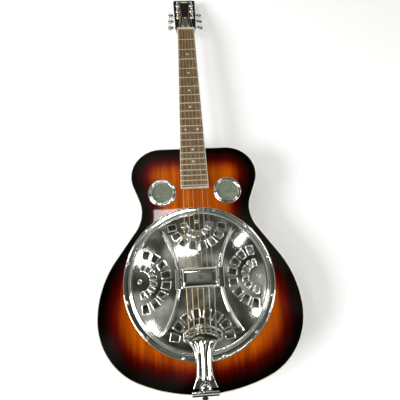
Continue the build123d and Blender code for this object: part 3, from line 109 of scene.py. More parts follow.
@dataclass(frozen=True)
class Layout:
    """The sizes that more than one sub-assembly needs, with the places that follow from them."""

    scale_length: float = 648.0
    saddle_compensation: float = 2.5
    fret_count: int = 21
    body_join_fret: int = 14
    neck_angle: float = radians(2.9)
    head_angle: float = radians(13.0)
    nut_width: float = 44.0
    nut_thickness: float = 5.0
    heel_width: float = 56.0
    board_thickness: float = 6.5
    top_z: float = 84.0
    tail_y: float = -202.0
    crown: float = 17.0
    dome_edge: float = 4.5
    dome_radius: float = 136.0
    band_height: float = 1.2
    comb_front_y: float = -84.0
    hinge_inset: float = 5.0
    bracket_thickness: float = 1.6
    hinge_radius: float = 3.2
    hinge_gap: float = 0.3
    veneer: float = 1.8
    tuner_first: float = 60.0
    tuner_pitch: float = 34.5
    post_x: float = 19.0
    post_radius: float = 3.0
    string_diameters: tuple[float, ...] = (0.33, 0.43, 0.66, 0.81, 1.07, 1.42)

    def fret(self, number: float) -> float:
        """Distance of a fret from the nut, along the fingerboard."""
        return self.scale_length * (1 - 2 ** (-number / 12))

    @property
    def join(self) -> float:
        """Distance from the nut to the fret where the neck meets the body."""
        return self.fret(self.body_join_fret)

    @property
    def body_top_y(self) -> float:
        """The body's edge under the neck."""
        return (self.scale_length + self.saddle_compensation - self.join) * cos(self.neck_angle)

    @property
    def neck(self) -> LocalFrame:
        """The plane under the fingerboard.

        Returns:
            Its axes, with their origin at the nut's front face.
        """
        y = self.body_top_y + self.join * cos(self.neck_angle)
        z = self.top_z + 1.0 - self.join * sin(self.neck_angle)
        return LocalFrame((0.0, y, z), self.neck_angle)

    @property
    def head(self) -> LocalFrame:
        """The headstock's face plane, below its veneer."""
        origin = self.neck.at(np.array([0.0, self.nut_thickness, 0.0]))[0]
        return LocalFrame(tuple(origin), self.neck_angle + self.head_angle)

    @property
    def hinge(self) -> tuple[float, float]:
        """The Y and Z of the tailpiece's hinge axis."""
        z = self.top_z + self.bracket_thickness + self.hinge_radius + self.hinge_gap
        return self.tail_y + self.hinge_inset, z

    @property
    def comb(self) -> LocalFrame:
        """The tailpiece's underside plane.

        Returns:
            Its axes, with their origin at the comb's front edge.
        """
        front_z = self.top_z + self.dome_height(-self.comb_front_y) + self.band_height + 1.2
        rear_z = self.hinge[1] - self.hinge_radius + 1.2
        slope = atan2(front_z - rear_z, self.comb_front_y - (self.tail_y + 12))
        return LocalFrame((0.0, self.comb_front_y, front_z), -slope)

    def cap(self, radius: np.ndarray | float) -> np.ndarray | float:
        """Height of the dome's sphere above its edge.

        Args:
            radius: The distance from the axis.
        Returns:
            The height there.
        """
        rise = self.crown - self.dome_edge
        sphere = (self.dome_radius**2 + rise**2) / (2 * rise)
        return rise - sphere + np.sqrt(np.maximum(sphere**2 - np.square(radius), 0))

    def dome_height(self, radius: np.ndarray | float) -> np.ndarray | float:
        """Height of the coverplate above the soundboard, at a radius from the axis."""
        return self.dome_edge + self.cap(radius)

    def tuner(self, number: int) -> tuple[int, float]:
        """Where a string's tuner sits.

        Args:
            number: The string, from 1 on the treble side.
        Returns:
            The sign of its side and its distance along the headstock.
        """
        side = Side.TREBLE.value if number <= 3 else Side.BASS.value
        row = number - 1 if side > 0 else 6 - number
        return side, self.tuner_first + row * self.tuner_pitch


LAYOUT = Layout()


# ---- nodes and meshes
def linear(code: str) -> tuple[float, float, float, float]:
    """Turn an sRGB hex colour into linear values.

    Args:
        code: Six hex digits after a hash.
    Returns:
        Linear red, green, blue and an alpha of one.
    """
    parts = [int(code[i : i + 2], 16) / 255 for i in (1, 3, 5)]
    levels = [c / 12.92 if c <= 0.04045 else ((c + 0.055) / 1.055) ** 2.4 for c in parts]
    return (*levels, 1.0)


def add(
    tree: NodeTree,
    kind: str,
    links: dict[int | str, NodeSocket] | None = None,
    values: dict[int | str, object] | None = None,
    ramp: Sequence[tuple[float, str]] = (),
    **settings: object,
) -> Node:
    """Add one node to a tree with its settings, its values and its links.

    Args:
        tree: The shader or geometry tree.
        kind: The node's type.
        links: The output that feeds each named or numbered input.
        values: The value of each named or numbered input.
        ramp: The stops of a colour ramp, as places and hex colours.
        settings: The node's own properties.
    Returns:
        The new node.
    """
    node = tree.nodes.new(kind)
    for key, value in settings.items():
        setattr(node, key, value)
    for key, value in (values or {}).items():
        node.inputs[key].default_value = value
    for key, socket in (links or {}).items():
        tree.links.new(socket, node.inputs[key])
    if ramp:
        stops = node.color_ramp.elements
        while len(stops) < len(ramp):
            stops.new(0.5)
        for stop, (place, code) in zip(stops, ramp):
            stop.position = place
            stop.color = linear(code)
    return node


def feed(tree: NodeTree, kind: str, *parts: dict | None, **settings: object) -> NodeSocket:
    """Add one node as add() does and return its first output."""
    return add(tree, kind, *parts, **settings).outputs[0]


def link_to_scene(obj: Object) -> Object:
    """Put an object into the scene."""
    bpy.context.scene.collection.objects.link(obj)
    return obj


def mesh_piece(
    name: str, points: np.ndarray, faces: Sequence[Sequence[int]], material: Material, crease: float = 40.0
) -> Object:
    """Make a mesh object from points in millimetres.

    Args:
        name: The piece's name.
        points: One row of x, y, z for each point.
        faces: The point numbers of each face.
        material: The finish.
        crease: Edges sharper than this many degrees stay sharp.
    Returns:
        The object, at the origin, with its place in its mesh.
    """
    mesh = bpy.data.meshes.new(name)
    mesh.from_pydata((np.asarray(points, float) * MM).tolist(), [], [list(map(int, f)) for f in faces])
    mesh.validate()
    mesh.materials.append(material)
    bm = bmesh.new()
    bm.from_mesh(mesh)
    bmesh.ops.remove_doubles(bm, verts=bm.verts, dist=SAME_POINT)
    bmesh.ops.recalc_face_normals(bm, faces=bm.faces)
    bm.to_mesh(mesh)
    bm.free()
    mesh.shade_smooth()
    mesh.set_sharp_from_angle(angle=radians(crease))
    return link_to_scene(bpy.data.objects.new(name, mesh))


def mesh_sheet(name: str, points: np.ndarray, faces: Sequence[Sequence[int]], material: Material) -> Object:
    """Make an open sheet whose faces already point upwards.

    Args:
        name: The piece's name.
        points: One row of x, y, z for each point, in millimetres.
        faces: The point numbers of each face.
        material: The finish.
    Returns:
        The sheet, without its thickness.
    """
    mesh = bpy.data.meshes.new(name)
    mesh.from_pydata((points * MM).tolist(), [], list(faces))
    mesh.materials.append(material)
    mesh.shade_smooth()
    return link_to_scene(bpy.data.objects.new(name, mesh))


def thicken(sheet: Object, depth: float, crease: float) -> Object:
    """Give a sheet its thickness, downwards from its upper face.

    Args:
        sheet: The open sheet, which is removed.
        depth: The thickness in millimetres.
        crease: Edges sharper than this many degrees stay sharp.
    Returns:
        The closed plate.
    """
    wall = sheet.modifiers.new("thickness", "SOLIDIFY")
    wall.thickness = depth * MM
    wall.offset = -1.0
    wall.use_even_offset = False
    name = sheet.name
    sheet.name = name + "_sheet"
    plate = settle(sheet, name)
    plate.data.shade_smooth()
    plate.data.set_sharp_from_angle(angle=radians(crease))
    return plate


def settle(obj: Object, name: str) -> Object:
    """Turn an object with modifiers into a plain mesh piece.

    Args:
        obj: The object, which is removed.
        name: The piece's name.
    Returns:
        A new object without modifiers.
    """
    graph = bpy.context.evaluated_depsgraph_get()
    mesh = bpy.data.meshes.new_from_object(obj.evaluated_get(graph))
    mesh.name = name
    bpy.data.objects.remove(obj)
    return link_to_scene(bpy.data.objects.new(name, mesh))


def grid_faces(rows: int, columns: int, loop: bool = False) -> list[tuple[int, int, int, int]]:
    """Faces of a grid of points.

    Args:
        rows: How many rows of points.
        columns: How many points in a row.
        loop: Whether each row closes on itself.
    Returns:
        Four point numbers for each face.
    """
    last = columns if loop else columns - 1
    return [
        (
            r * columns + c, r * columns + (c + 1) % columns, (r + 1) * columns + (c + 1) % columns,
            (r + 1) * columns + c
        )
        for r in range(rows - 1)
        for c in range(last)
    ]


def circle(radius: float, count: int) -> np.ndarray:
    """Evenly spaced points round a circle, one row of x, y for each."""
    turn = np.linspace(0, 2 * pi, count, endpoint=False)
    return np.c_[radius * np.cos(turn), radius * np.sin(turn)]


def ring_rows(section: Sequence[tuple[float, float]], sides: int) -> np.ndarray:
    """Points round the Z axis, one ring for each radius and height of a section."""
    return np.vstack([np.c_[circle(r, sides), np.full(sides, z)] for r, z in section])


def lathe(profile: Sequence[tuple[float, float]], sides: int = 32) -> tuple[np.ndarray, list]:
    """Turn a profile of radius and height round the Z axis.

    Args:
        profile: Radius and height of each ring, from one end of the axis to the other.
        sides: How many points go round.
    Returns:
        Points and faces, closed at both ends.
    """
    faces: list = grid_faces(len(profile), sides, loop=True)
    faces.append(tuple(range(sides))[::-1])
    faces.append(tuple((len(profile) - 1) * sides + k for k in range(sides)))
    return ring_rows(profile, sides), faces


def wall_between(outer: np.ndarray, inner: np.ndarray, rows: int, columns: int) -> tuple[np.ndarray, list]:
    """A closed wall between an outer and an inner grid of points.

    Args:
        outer: The outer face's points, row by row.
        inner: The inner face's points in the same order.
        rows: How many rows of points.
        columns: How many points in a row.
    Returns:
        Points and faces of the closed wall.
    """
    count = rows * columns
    faces: list = grid_faces(rows, columns)
    faces += [tuple(count + k for k in reversed(f)) for f in grid_faces(rows, columns)]
    edge = list(range(columns))
    edge += [r * columns + columns - 1 for r in range(1, rows)]
    edge += [(rows - 1) * columns + k for k in range(columns - 2, -1, -1)]
    edge += [r * columns for r in range(rows - 2, 0, -1)]
    for a, b in zip(edge, edge[1:] + edge[:1]):
        faces.append((b, a, count + a, count + b))
    return np.vstack([outer, inner]), faces


class Pattern:
    """A Geometry Nodes tree that makes a repeated shape, with its sizes as named inputs."""

    def __init__(self, name: str) -> None:
        """Start an empty tree with a geometry input and a geometry output.

        Args:
            name: The tree's name.
        """
        self.tree = bpy.data.node_groups.new(name, "GeometryNodeTree")
        self.tree.is_modifier = True
        self.tree.interface.new_socket("Geometry", in_out="INPUT", socket_type="NodeSocketGeometry")
        self.tree.interface.new_socket("Geometry", in_out="OUTPUT", socket_type="NodeSocketGeometry")
        self.given = self.tree.nodes.new("NodeGroupInput")
        self.values: dict[str, object] = {}

    def size(self, name: str, value: object, kind: str = "NodeSocketFloat") -> NodeSocket:
        """Add a named input.

        Args:
            name: The input's name.
            value: What it is set to.
            kind: The type of its socket.
        Returns:
            Its socket inside the tree.
        """
        self.tree.interface.new_socket(name, in_out="INPUT", socket_type=kind)
        self.values[name] = value
        return self.given.outputs[name]

    def add(
        self, kind: str, links: dict | None = None, values: dict | None = None, **settings: object
    ) -> NodeSocket:
        """Add one node to the tree and return its first output."""
        return feed(self.tree, kind, links, values, **settings)

    def maths(self, operation: str, *parts: NodeSocket | float) -> NodeSocket:
        """Add one calculation to the tree.

        Args:
            operation: What it does with its parts.
            parts: Sockets or plain numbers, in order.
        Returns:
            The result.
        """
        links = {k: p for k, p in enumerate(parts) if isinstance(p, NodeSocket)}
        values = {k: p for k, p in enumerate(parts) if not isinstance(p, NodeSocket)}
        return self.add("ShaderNodeMath", links, values, operation=operation)

    def make(
        self,
        name: str,
        geometry: NodeSocket,
        material: Material,
        base: Mesh | None = None,
        crease: float = 40.0,
    ) -> Object:
        """End the tree, run it once and keep its result as a plain mesh.

        Args:
            name: The piece's name.
            geometry: The socket with the finished shape.
            material: The finish.
            base: A mesh that the tree starts from, if it needs one.
            crease: Edges sharper than this many degrees stay sharp.
        Returns:
            The piece.
        """
        real = self.add("GeometryNodeRealizeInstances", {"Geometry": geometry})
        dressed = self.add("GeometryNodeSetMaterial", {"Geometry": real}, {"Material": material})
        add(self.tree, "NodeGroupOutput", {0: dressed})
        carrier = link_to_scene(bpy.data.objects.new(name, base or bpy.data.meshes.new(name)))
        modifier = carrier.modifiers.new("pattern", "NODES")
        modifier.node_group = self.tree
        for item in self.tree.interface.items_tree:
            if item.in_out == "INPUT" and item.name in self.values:
                modifier[item.identifier] = self.values[item.name]
        piece = settle(carrier, name)
        piece.data.shade_smooth()
        piece.data.set_sharp_from_angle(angle=radians(crease))
        return piece


def seat_copies(name: str, master: Object, places: Sequence[Matrix], material: Material) -> Object:
    """Repeat a small part at a list of places.

    Args:
        name: The piece's name.
        master: The small part at the origin, which is removed afterwards.
        places: The matrix of each copy, in metres.
        material: The finish.
    Returns:
        One piece that holds every copy.
    """
    seats = bpy.data.meshes.new(name + "_seats")
    seats.from_pydata([tuple(m.translation) for m in places], [], [])
    turns = seats.attributes.new("turn", "FLOAT_VECTOR", "POINT")
    turns.data.foreach_set("vector", [a for m in places for a in m.to_euler()])
    pattern = Pattern(name + "_pattern")
    geometry = pattern.given.outputs["Geometry"]
    part = pattern.size("Part", master, "NodeSocketObject")
    scale = pattern.size("Scale", 1.0)
    shape = add(pattern.tree, "GeometryNodeObjectInfo", {"Object": part}).outputs["Geometry"]
    turn = pattern.add("GeometryNodeInputNamedAttribute", None, {"Name": "turn"}, data_type="FLOAT_VECTOR")
    copies = pattern.add(
        "GeometryNodeInstanceOnPoints",
        {"Points": geometry, "Instance": shape, "Rotation": turn, "Scale": scale},
    )
    piece = pattern.make(name, copies, material, seats)
    bpy.data.objects.remove(master)
    return piece


# ---- finishes
def size_to_scale(size: float) -> float:
    """The scale of a noise whose spots are this many millimetres wide."""
    return 1 / (size * MM)


def wave_to_scale(spacing: float) -> float:
    """The scale of a wave texture whose bands are this many millimetres apart."""
    return 2 * pi / (20 * spacing * MM)


class Finish:
    """What every finish shares: a new material with its shader and its Object coordinates."""

    name: str

    def start(self) -> tuple[Material, NodeTree, NodeSocket]:
        """Make an empty material.

        Returns:
            The material, its tree and its Object coordinates.
        """
        material = bpy.data.materials.new(self.name)
        material.use_nodes = True
        tree = material.node_tree
        tree.nodes.clear()
        place = add(tree, "ShaderNodeTexCoord").outputs["Object"]
        return material, tree, place

    def end(self, tree: NodeTree, links: dict[str, NodeSocket], values: dict[str, object]) -> None:
        """Add the shader and the output.

        Args:
            tree: The material's tree.
            links: The outputs that feed the shader.
            values: The shader's constants.
        """
        shader = add(tree, "ShaderNodeBsdfPrincipled", links, values)
        add(tree, "ShaderNodeOutputMaterial", {"Surface": shader.outputs[0]})


@dataclass(frozen=True)
class GlossWood(Finish):
    """Sprayed and buffed nitro lacquer over stained wood.

    The clear coat is smooth and mirrors the lights, with a very slight unevenness from buffing. Under
    it the grain shows as fine long streaks. Where the stain is sprayed as a burst, the colour
    darkens towards the edge.
    """

    name: str
    pale: str
    dark: str
    grain_width: float = 1.8
    grain_length: float = 60.0
    pore_depth: float = 0.02
    burst: bool = False
    coat: float = 1.0
    coat_roughness: float = 0.03
    roughness: float = 0.6

    def make(self) -> Material:
        """Build the lacquered wood.

        Returns:
            The material.
        """
        material, tree, place = self.start()
        long = self.grain_width / self.grain_length
        along = feed(tree, "ShaderNodeMapping", {"Vector": place}, {"Scale": (1.0, long, 1.0)})
        streak = feed(
            tree,
            "ShaderNodeTexNoise",
            {"Vector": along},
            {"Scale": size_to_scale(self.grain_width), "Detail": 4.0, "Roughness": 0.6, "Distortion": 0.3},
        )
        wide = feed(
            tree,
            "ShaderNodeTexNoise",
            {"Vector": along},
            {"Scale": size_to_scale(self.grain_width * 7), "Detail": 2.0, "Distortion": 0.8},
        )
        blend = feed(tree, "ShaderNodeMath", {0: streak, 1: wide}, operation="MULTIPLY_ADD", values={2: 0.12})
        colour = feed(tree, "ShaderNodeValToRGB", {0: blend}, ramp=((0.2, self.dark), (0.55, self.pale)))
        if self.burst:
            colour = self.sprayed(tree, colour, wide)
        ripple = feed(
            tree, "ShaderNodeTexNoise", {"Vector": place}, {"Scale": size_to_scale(28.0), "Detail": 1.0}
        )
        coat_bump = feed(tree, "ShaderNodeBump", {"Height": ripple}, {"Strength": 0.05, "Distance": 0.0006})
        pores = feed(
            tree, "ShaderNodeBump", {"Height": streak}, {"Strength": 0.2, "Distance": self.pore_depth * MM}
        )
        self.end(
            tree,
            {"Base Color": colour, "Normal": pores, "Coat Normal": coat_bump},
            {
                "Roughness": self.roughness, "IOR": 1.5, "Specular IOR Level": 0.0, "Coat Weight": self.coat,
                "Coat Roughness": self.coat_roughness, "Coat IOR": 1.5
            },
        )
        return material

    @staticmethod
    def sprayed(tree: NodeTree, colour: NodeSocket, cloud: NodeSocket) -> NodeSocket:
        """Darken the colour towards the edge, by the distance that the mesh carries.

        Args:
            tree: The material's tree.
            colour: The stained wood's colour.
            cloud: A slow noise that makes the spray's border a little uneven.
        Returns:
            The colour with the burst over it.
        """
        edge = add(tree, "ShaderNodeAttribute", attribute_name="edge").outputs["Fac"]
        shifted = feed(tree, "ShaderNodeMath", {0: cloud, 2: edge}, {1: 0.004}, operation="MULTIPLY_ADD")
        share = feed(tree, "ShaderNodeMapRange", {"Value": shifted}, {"From Min": 0.0, "From Max": 0.062})
        spray = feed(
            tree,
            "ShaderNodeValToRGB",
            {0: share},
            ramp=(
                (0.17, "#020101"), (0.274, "#1b1310"), (0.40, "#3e0802"), (0.50, "#5c120a"),
                (0.60, "#843426"), (0.70, "#ac8070"), (0.82, "#dcc6ae"), (1.0, "#ffffff")
            ),
        )
        mixed = add(
            tree, "ShaderNodeMix", {6: colour, 7: spray}, {0: 1.0}, data_type="RGBA", blend_type="MULTIPLY"
        )
        return mixed.outputs[2]


@dataclass(frozen=True)
class OpenWood(Finish):
    """Planed hardwood or softwood without lacquer: matt, with open grain and darker pore streaks."""

    name: str
    pale: str
    dark: str
    grain_width: float = 1.2
    grain_length: float = 40.0
    roughness: float = 0.5
    streaks: float = 0.5

    def make(self) -> Material:
        """Build the bare wood.

        Returns:
            The material.
        """
        material, tree, place = self.start()
        long = self.grain_width / self.grain_length
        along = feed(tree, "ShaderNodeMapping", {"Vector": place}, {"Scale": (1.0, long, 1.0)})
        grain = feed(
            tree,
            "ShaderNodeTexNoise",
            {"Vector": along},
            {"Scale": size_to_scale(self.grain_width), "Detail": 5.0, "Roughness": 0.65, "Distortion": 0.4},
        )
        colour = feed(
            tree,
            "ShaderNodeValToRGB",
            {0: grain},
            ramp=((self.streaks - 0.15, self.dark), (self.streaks + 0.15, self.pale)),
        )
        rough = feed(
            tree,
            "ShaderNodeMapRange",
            {"Value": grain},
            {"To Min": self.roughness + 0.12, "To Max": self.roughness - 0.08},
        )
        bump = feed(tree, "ShaderNodeBump", {"Height": grain}, {"Strength": 0.35, "Distance": 0.00008})
        self.end(tree, {"Base Color": colour, "Roughness": rough, "Normal": bump}, {"IOR": 1.5})
        return material


@dataclass(frozen=True)
class Metal(Finish):
    """A bare or plated metal, by its colour and by how its surface was worked.

    Buffed plate mirrors sharply but never perfectly flat, so a slow waviness bends its highlights.
    A spun or cast surface adds a finer grain and a wider gloss.
    """

    name: str
    colour: str
    worn: str
    roughness: float
    rougher: float
    wave: float = 30.0
    wave_depth: float = 0.05
    grain: float = 1.5
    grain_depth: float = 0.0
    lathe_lines: float = 0.0

    def make(self) -> Material:
        """Build the metal.

        Returns:
            The material.
        """
        material, tree, place = self.start()
        spots = feed(
            tree,
            "ShaderNodeTexNoise",
            {"Vector": place},
            {"Scale": size_to_scale(self.wave * 0.5), "Detail": 6.0, "Roughness": 0.6},
        )
        colour = feed(tree, "ShaderNodeValToRGB", {0: spots}, ramp=((0.35, self.worn), (0.6, self.colour)))
        rough = feed(
            tree,
            "ShaderNodeMapRange",
            {"Value": spots},
            {"From Min": 0.3, "From Max": 0.7, "To Min": self.rougher, "To Max": self.roughness},
        )
        slow = feed(
            tree, "ShaderNodeTexNoise", {"Vector": place}, {"Scale": size_to_scale(self.wave), "Detail": 1.0}
        )
        normal = feed(
            tree, "ShaderNodeBump", {"Height": slow}, {"Strength": 0.4, "Distance": self.wave_depth * MM}
        )
        if self.grain_depth:
            fine = feed(
                tree, "ShaderNodeTexNoise", {"Vector": place},
                {"Scale": size_to_scale(self.grain), "Detail": 3.0}
            )
            normal = feed(
                tree, "ShaderNodeBump", {"Height": fine, "Normal": normal},
                {"Strength": 0.5, "Distance": self.grain_depth * MM}
            )
        if self.lathe_lines:
            rings = feed(
                tree,
                "ShaderNodeTexWave",
                {"Vector": place},
                {"Scale": wave_to_scale(self.lathe_lines), "Distortion": 0.4, "Detail": 2.0},
                wave_type="RINGS",
                rings_direction="Z",
            )
            normal = feed(
                tree, "ShaderNodeBump", {"Height": rings, "Normal": normal},
                {"Strength": 0.4, "Distance": 0.00003}
            )
        self.end(tree, {"Base Color": colour, "Roughness": rough, "Normal": normal}, {"Metallic": 1.0})
        return material


@dataclass(frozen=True)
class WoundWire(Finish):
    """Bronze wire wound round a steel core: a warm metal with fine ribs across the string.

    The real ribs are about 0.3 mm apart. They are drawn 1.2 mm apart, so that they show. The darker groove
    colour between the ribs is painted shade in the hollows, not a second metal.
    """

    name: str
    colour: str
    # painted shade: the colour of the hollows between the wraps
    groove: str
    rib: float = 1.2

    def make(self) -> Material:
        """Build the winding.

        Returns:
            The material.
        """
        material, tree, place = self.start()
        ribs = add(
            tree, "ShaderNodeTexWave", {"Vector": place}, {"Scale": wave_to_scale(self.rib)},
            wave_type="BANDS", bands_direction="Y"
        ).outputs["Fac"]
        # painted shade: the ramp darkens the wire towards the groove colour between the ribs
        colour = feed(tree, "ShaderNodeValToRGB", {0: ribs}, ramp=((0.1, self.groove), (0.6, self.colour)))
        bump = feed(tree, "ShaderNodeBump", {"Height": ribs}, {"Strength": 0.6, "Distance": 0.0001})
        self.end(tree, {"Base Color": colour, "Normal": bump}, {"Metallic": 1.0, "Roughness": 0.42})
        return material


@dataclass(frozen=True)
class Moulded(Finish):
    """Celluloid, bone, shell or moulded plastic: a smooth body with clouds of a second tint."""

    name: str
    colour: str
    cloud: str
    cloud_size: float
    roughness: float
    subsurface: float = 0.0
    coat: float = 0.0
    sheen_tint: str = "#ffffff"
    stretch: float = 1.0

    def make(self) -> Material:
        """Build the moulded surface.

        Returns:
            The material.
        """
        material, tree, place = self.start()
        along = feed(tree, "ShaderNodeMapping", {"Vector": place}, {"Scale": (1.0, self.stretch, 1.0)})
        tint = feed(
            tree,
            "ShaderNodeTexNoise",
            {"Vector": along},
            {"Scale": size_to_scale(self.cloud_size), "Detail": 4.0, "Distortion": 0.8},
        )
        colour = feed(tree, "ShaderNodeValToRGB", {0: tint}, ramp=((0.35, self.cloud), (0.62, self.colour)))
        rough = feed(
            tree,
            "ShaderNodeMapRange",
            {"Value": tint},
            {"To Min": self.roughness + 0.08, "To Max": self.roughness - 0.04},
        )
        bump = feed(tree, "ShaderNodeBump", {"Height": tint}, {"Strength": 0.1, "Distance": 0.0001})
        self.end(
            tree,
            {"Base Color": colour, "Roughness": rough, "Normal": bump},
            {
                "IOR": 1.5, "Subsurface Weight": self.subsurface, "Subsurface Scale": 0.002,
                "Coat Weight": self.coat, "Coat Roughness": 0.05, "Specular Tint": linear(self.sheen_tint)
            },
        )
        return material


class Palette:
    """Every finish on the guitar, made once and kept by the record's slot names."""

    def __init__(self) -> None:
        """Make the materials."""
        finishes: dict[str, Finish] = {
            "spruce_top": GlossWood("sunburst_top", "#d46404", "#8e3603", burst=True, coat=0.5),
            "back_wood": GlossWood("sunburst_back", "#a8560c", "#6e2f05", burst=True, grain_width=2.4),
            "side_wood": GlossWood("stained_side", "#4a1405", "#240702", grain_width=2.4),
            "neck_wood": GlossWood(
                "mahogany_neck", "#5a2410", "#34110a", grain_width=1.6, coat_roughness=0.08
            ),
            "headstock_black": GlossWood(
                "black_lacquer_face", "#080808", "#030303", coat=0.15, coat_roughness=0.04
            ),
            "rosewood": OpenWood("oiled_rosewood", "#9c8056", "#402c1a", grain_width=1.1, roughness=0.5),
            "inner_wood": OpenWood("bare_spruce", "#c9a878", "#a27c4c", roughness=0.62),
            "soundwell_wood": OpenWood("maple_ply", "#b08a5a", "#7e5c38", roughness=0.6),
            "saddle_maple": OpenWood("hard_maple", "#d9bd8c", "#a67f4e", grain_width=0.7, roughness=0.45),
            "coverplate_chrome": Metal("buffed_chrome_plate", "#e6e7e2", "#d2d3cd", 0.06, 0.1, 34.0, 0.05),
            "hardware_chrome": Metal("chrome_hardware", "#e9e9e6", "#cfcfca", 0.05, 0.1, 12.0, 0.02),
            "fret_wire": Metal("nickel_silver_wire", "#f4f0e4", "#d8d2c2", 0.45, 0.55, 6.0, 0.01, 0.8, 0.004),
            "steel": Metal("machined_steel", "#b9b7b2", "#8d8a84", 0.25, 0.38, 8.0, 0.02, 0.6, 0.01),
            "plain_string": Metal("drawn_steel_wire", "#fbfaf6", "#e4e1d8", 0.42, 0.52, 3.0, 0.005),
            "spun_aluminium": Metal(
                "spun_aluminium", "#f2f3e8", "#cdcfc2", 0.55, 0.68, 25.0, 0.05, lathe_lines=1.6
            ),
            "cast_aluminium": Metal("cast_aluminium", "#a9aaa4", "#83847e", 0.38, 0.5, 10.0, 0.05, 0.7, 0.03),
            "screen_mesh": Metal("woven_steel_wire", "#d6e0cd", "#b0b9a5", 0.6, 0.7, 5.0, 0.01),
            # the last colour is painted shade in the grooves between the wraps
            "wound_string": WoundWire("phosphor_bronze_winding", "#ecd2a4", "#9c8058"),
            "cream_binding": Moulded("celluloid_binding", "#fbf6e6", "#e6dcc0", 14.0, 0.22, 0.15, 0.6),
            "nut_bone": Moulded("polished_bone", "#f3ecd8", "#dccfae", 5.0, 0.3, 0.2, 0.2),
            "pearl": Moulded("white_pearl_shell", "#efece2", "#c9c8bd", 3.0, 0.22, 0.1, 0.5),
            "green_pearl": Moulded(
                "green_pearl_shell", "#b9cf86", "#86a45c", 4.0, 0.2, 0.1, 0.5, "#d8ffd0", 0.5
            ),
            "black_plastic": Moulded("moulded_black_plastic", "#0e0d0d", "#070606", 3.0, 0.3, 0.0, 0.1),
        }
        self.made = {slot: finish.make() for slot, finish in finishes.items()}

    def __getitem__(self, slot: str) -> Material:
        """The material for a slot of the record."""
        return self.made[slot]


# ---- how a piece joins the guitar
@dataclass
class Assembly:
    """A sub-assembly: what its pieces share, and how they join the guitar."""

    palette: Palette
    pieces: list[str] = field(default_factory=list, init=False)

    def fit(self, piece: Object, body: str, slot: str, *nodes: str) -> Object:
        """Ride a piece on its body and let it stand for its CAD nodes.

        Args:
            piece: The finished piece.
            body: The CAD body that it moves with.
            slot: Not used.
            nodes: The CAD nodes that it stands for.
        Returns:
            The same piece.
        """
        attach(piece, body)
        if nodes:
            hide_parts(*nodes)
        self.pieces.append(piece.name)
        log.info("%s: %s on %s, %d faces", type(self).__name__, piece.name, body, len(piece.data.polygons))
        return piece

    def dress(self, slot: str, *nodes: str) -> None:
        """Give CAD nodes that keep their shape their finish.

        Args:
            slot: The record's material slot.
            nodes: The nodes that have it.
        """
        for node in nodes:
            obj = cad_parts[node]
            if not obj.material_slots:
                obj.data.materials.append(None)
            for holder in obj.material_slots:
                holder.link = "OBJECT"
                holder.material = self.palette[slot]
            log.info("%s: %s dressed as %s", type(self).__name__, node, slot)


# ---- body
def arc_points(
    centre: tuple[float, float], radius: float, start: float, end: float, step: float
) -> list[tuple[float, float]]:
    """Points along an arc, without its last one.

    Args:
        centre: The arc's centre.
        radius: Its radius.
        start: Its first angle.
        end: Its last angle.
        step: The distance between points.
    Returns:
        The points in order.
    """
    count = max(2, int(abs(end - start) * radius / step))
    return [
        (
            centre[0] + radius * cos(start + (end - start) * k / count),
            centre[1] + radius * sin(start + (end - start) * k / count),
        )
        for k in range(count)
    ]


def loop_distance(points: np.ndarray, loop: np.ndarray) -> np.ndarray:
    """Distance from points to a closed loop, positive inside it.

    Args:
        points: One row of x, y for each point.
        loop: The loop's corners in order.
    Returns:
        One signed distance for each point.
    """
    nearest = np.full(len(points), np.inf)
    inside = np.zeros(len(points), bool)
    for a, b in zip(loop, np.roll(loop, -1, axis=0)):
        edge, rel = b - a, points - a
        share = np.clip(rel @ edge / max(edge @ edge, 1e-12), 0, 1)
        nearest = np.minimum(nearest, np.hypot(*(rel - share[:, None] * edge).T))
        crosses = (a[1] > points[:, 1]) != (b[1] > points[:, 1])
        if a[1] != b[1]:
            cut = a[0] + (points[:, 1] - a[1]) * edge[0] / edge[1]
            inside ^= crosses & (points[:, 0] < cut)
    return np.where(inside, nearest, -nearest)


def hex_grid(low: tuple[float, float], high: tuple[float, float], step: float) -> np.ndarray:
    """Points of a triangular grid over a rectangle.

    Args:
        low: The rectangle's lowest corner.
        high: Its highest corner.
        step: The distance between points.
    Returns:
        One row of x, y for each point.
    """
    rows = np.arange(low[1], high[1], step * HEX_ROW)
    return np.vstack(
        [
            np.c_[
                np.arange(low[0] + (k % 2) * step / 2, high[0], step),
                np.full(len(np.arange(low[0] + (k % 2) * step / 2, high[0], step)), y)
            ]
            for k, y in enumerate(rows)
        ]
    )


def fill_plan(
    loops: Sequence[np.ndarray], loose: np.ndarray, keep: Callable[[np.ndarray], np.ndarray]
) -> tuple[np.ndarray, list[tuple[int, ...]]]:
    """Fill a plan between loops with triangles.

    Args:
        loops: Closed loops that become edges.
        loose: Other points that the triangles pass through.
        keep: Says for each triangle's middle whether it stays.
    Returns:
        The plan's points and its triangles, which face upwards.
    """
    points: list = []
    edges: list[tuple[int, int]] = []
    for loop in loops:
        first = len(points)
        points += loop.tolist()
        edges += [(first + k, first + (k + 1) % len(loop)) for k in range(len(loop))]
    points += loose.tolist()
    out = delaunay_2d_cdt([Vector(p) for p in points], edges, [], 0, 1e-4)
    plan = np.array([tuple(v) for v in out[0]])
    faces = np.array([tuple(f) for f in out[2]])
    faces = faces[keep(plan[faces].mean(axis=1))]
    a, b, c = plan[faces[:, 0]], plan[faces[:, 1]], plan[faces[:, 2]]
    area = (b[:, 0] - a[:, 0]) * (c[:, 1] - a[:, 1]) - (b[:, 1] - a[:, 1]) * (c[:, 0] - a[:, 0])
    faces[area < 0] = faces[area < 0][:, ::-1]
    used = np.unique(faces)
    renumber = np.full(len(plan), -1)
    renumber[used] = np.arange(len(used))
    return plan[used], [tuple(f) for f in renumber[faces].tolist()]


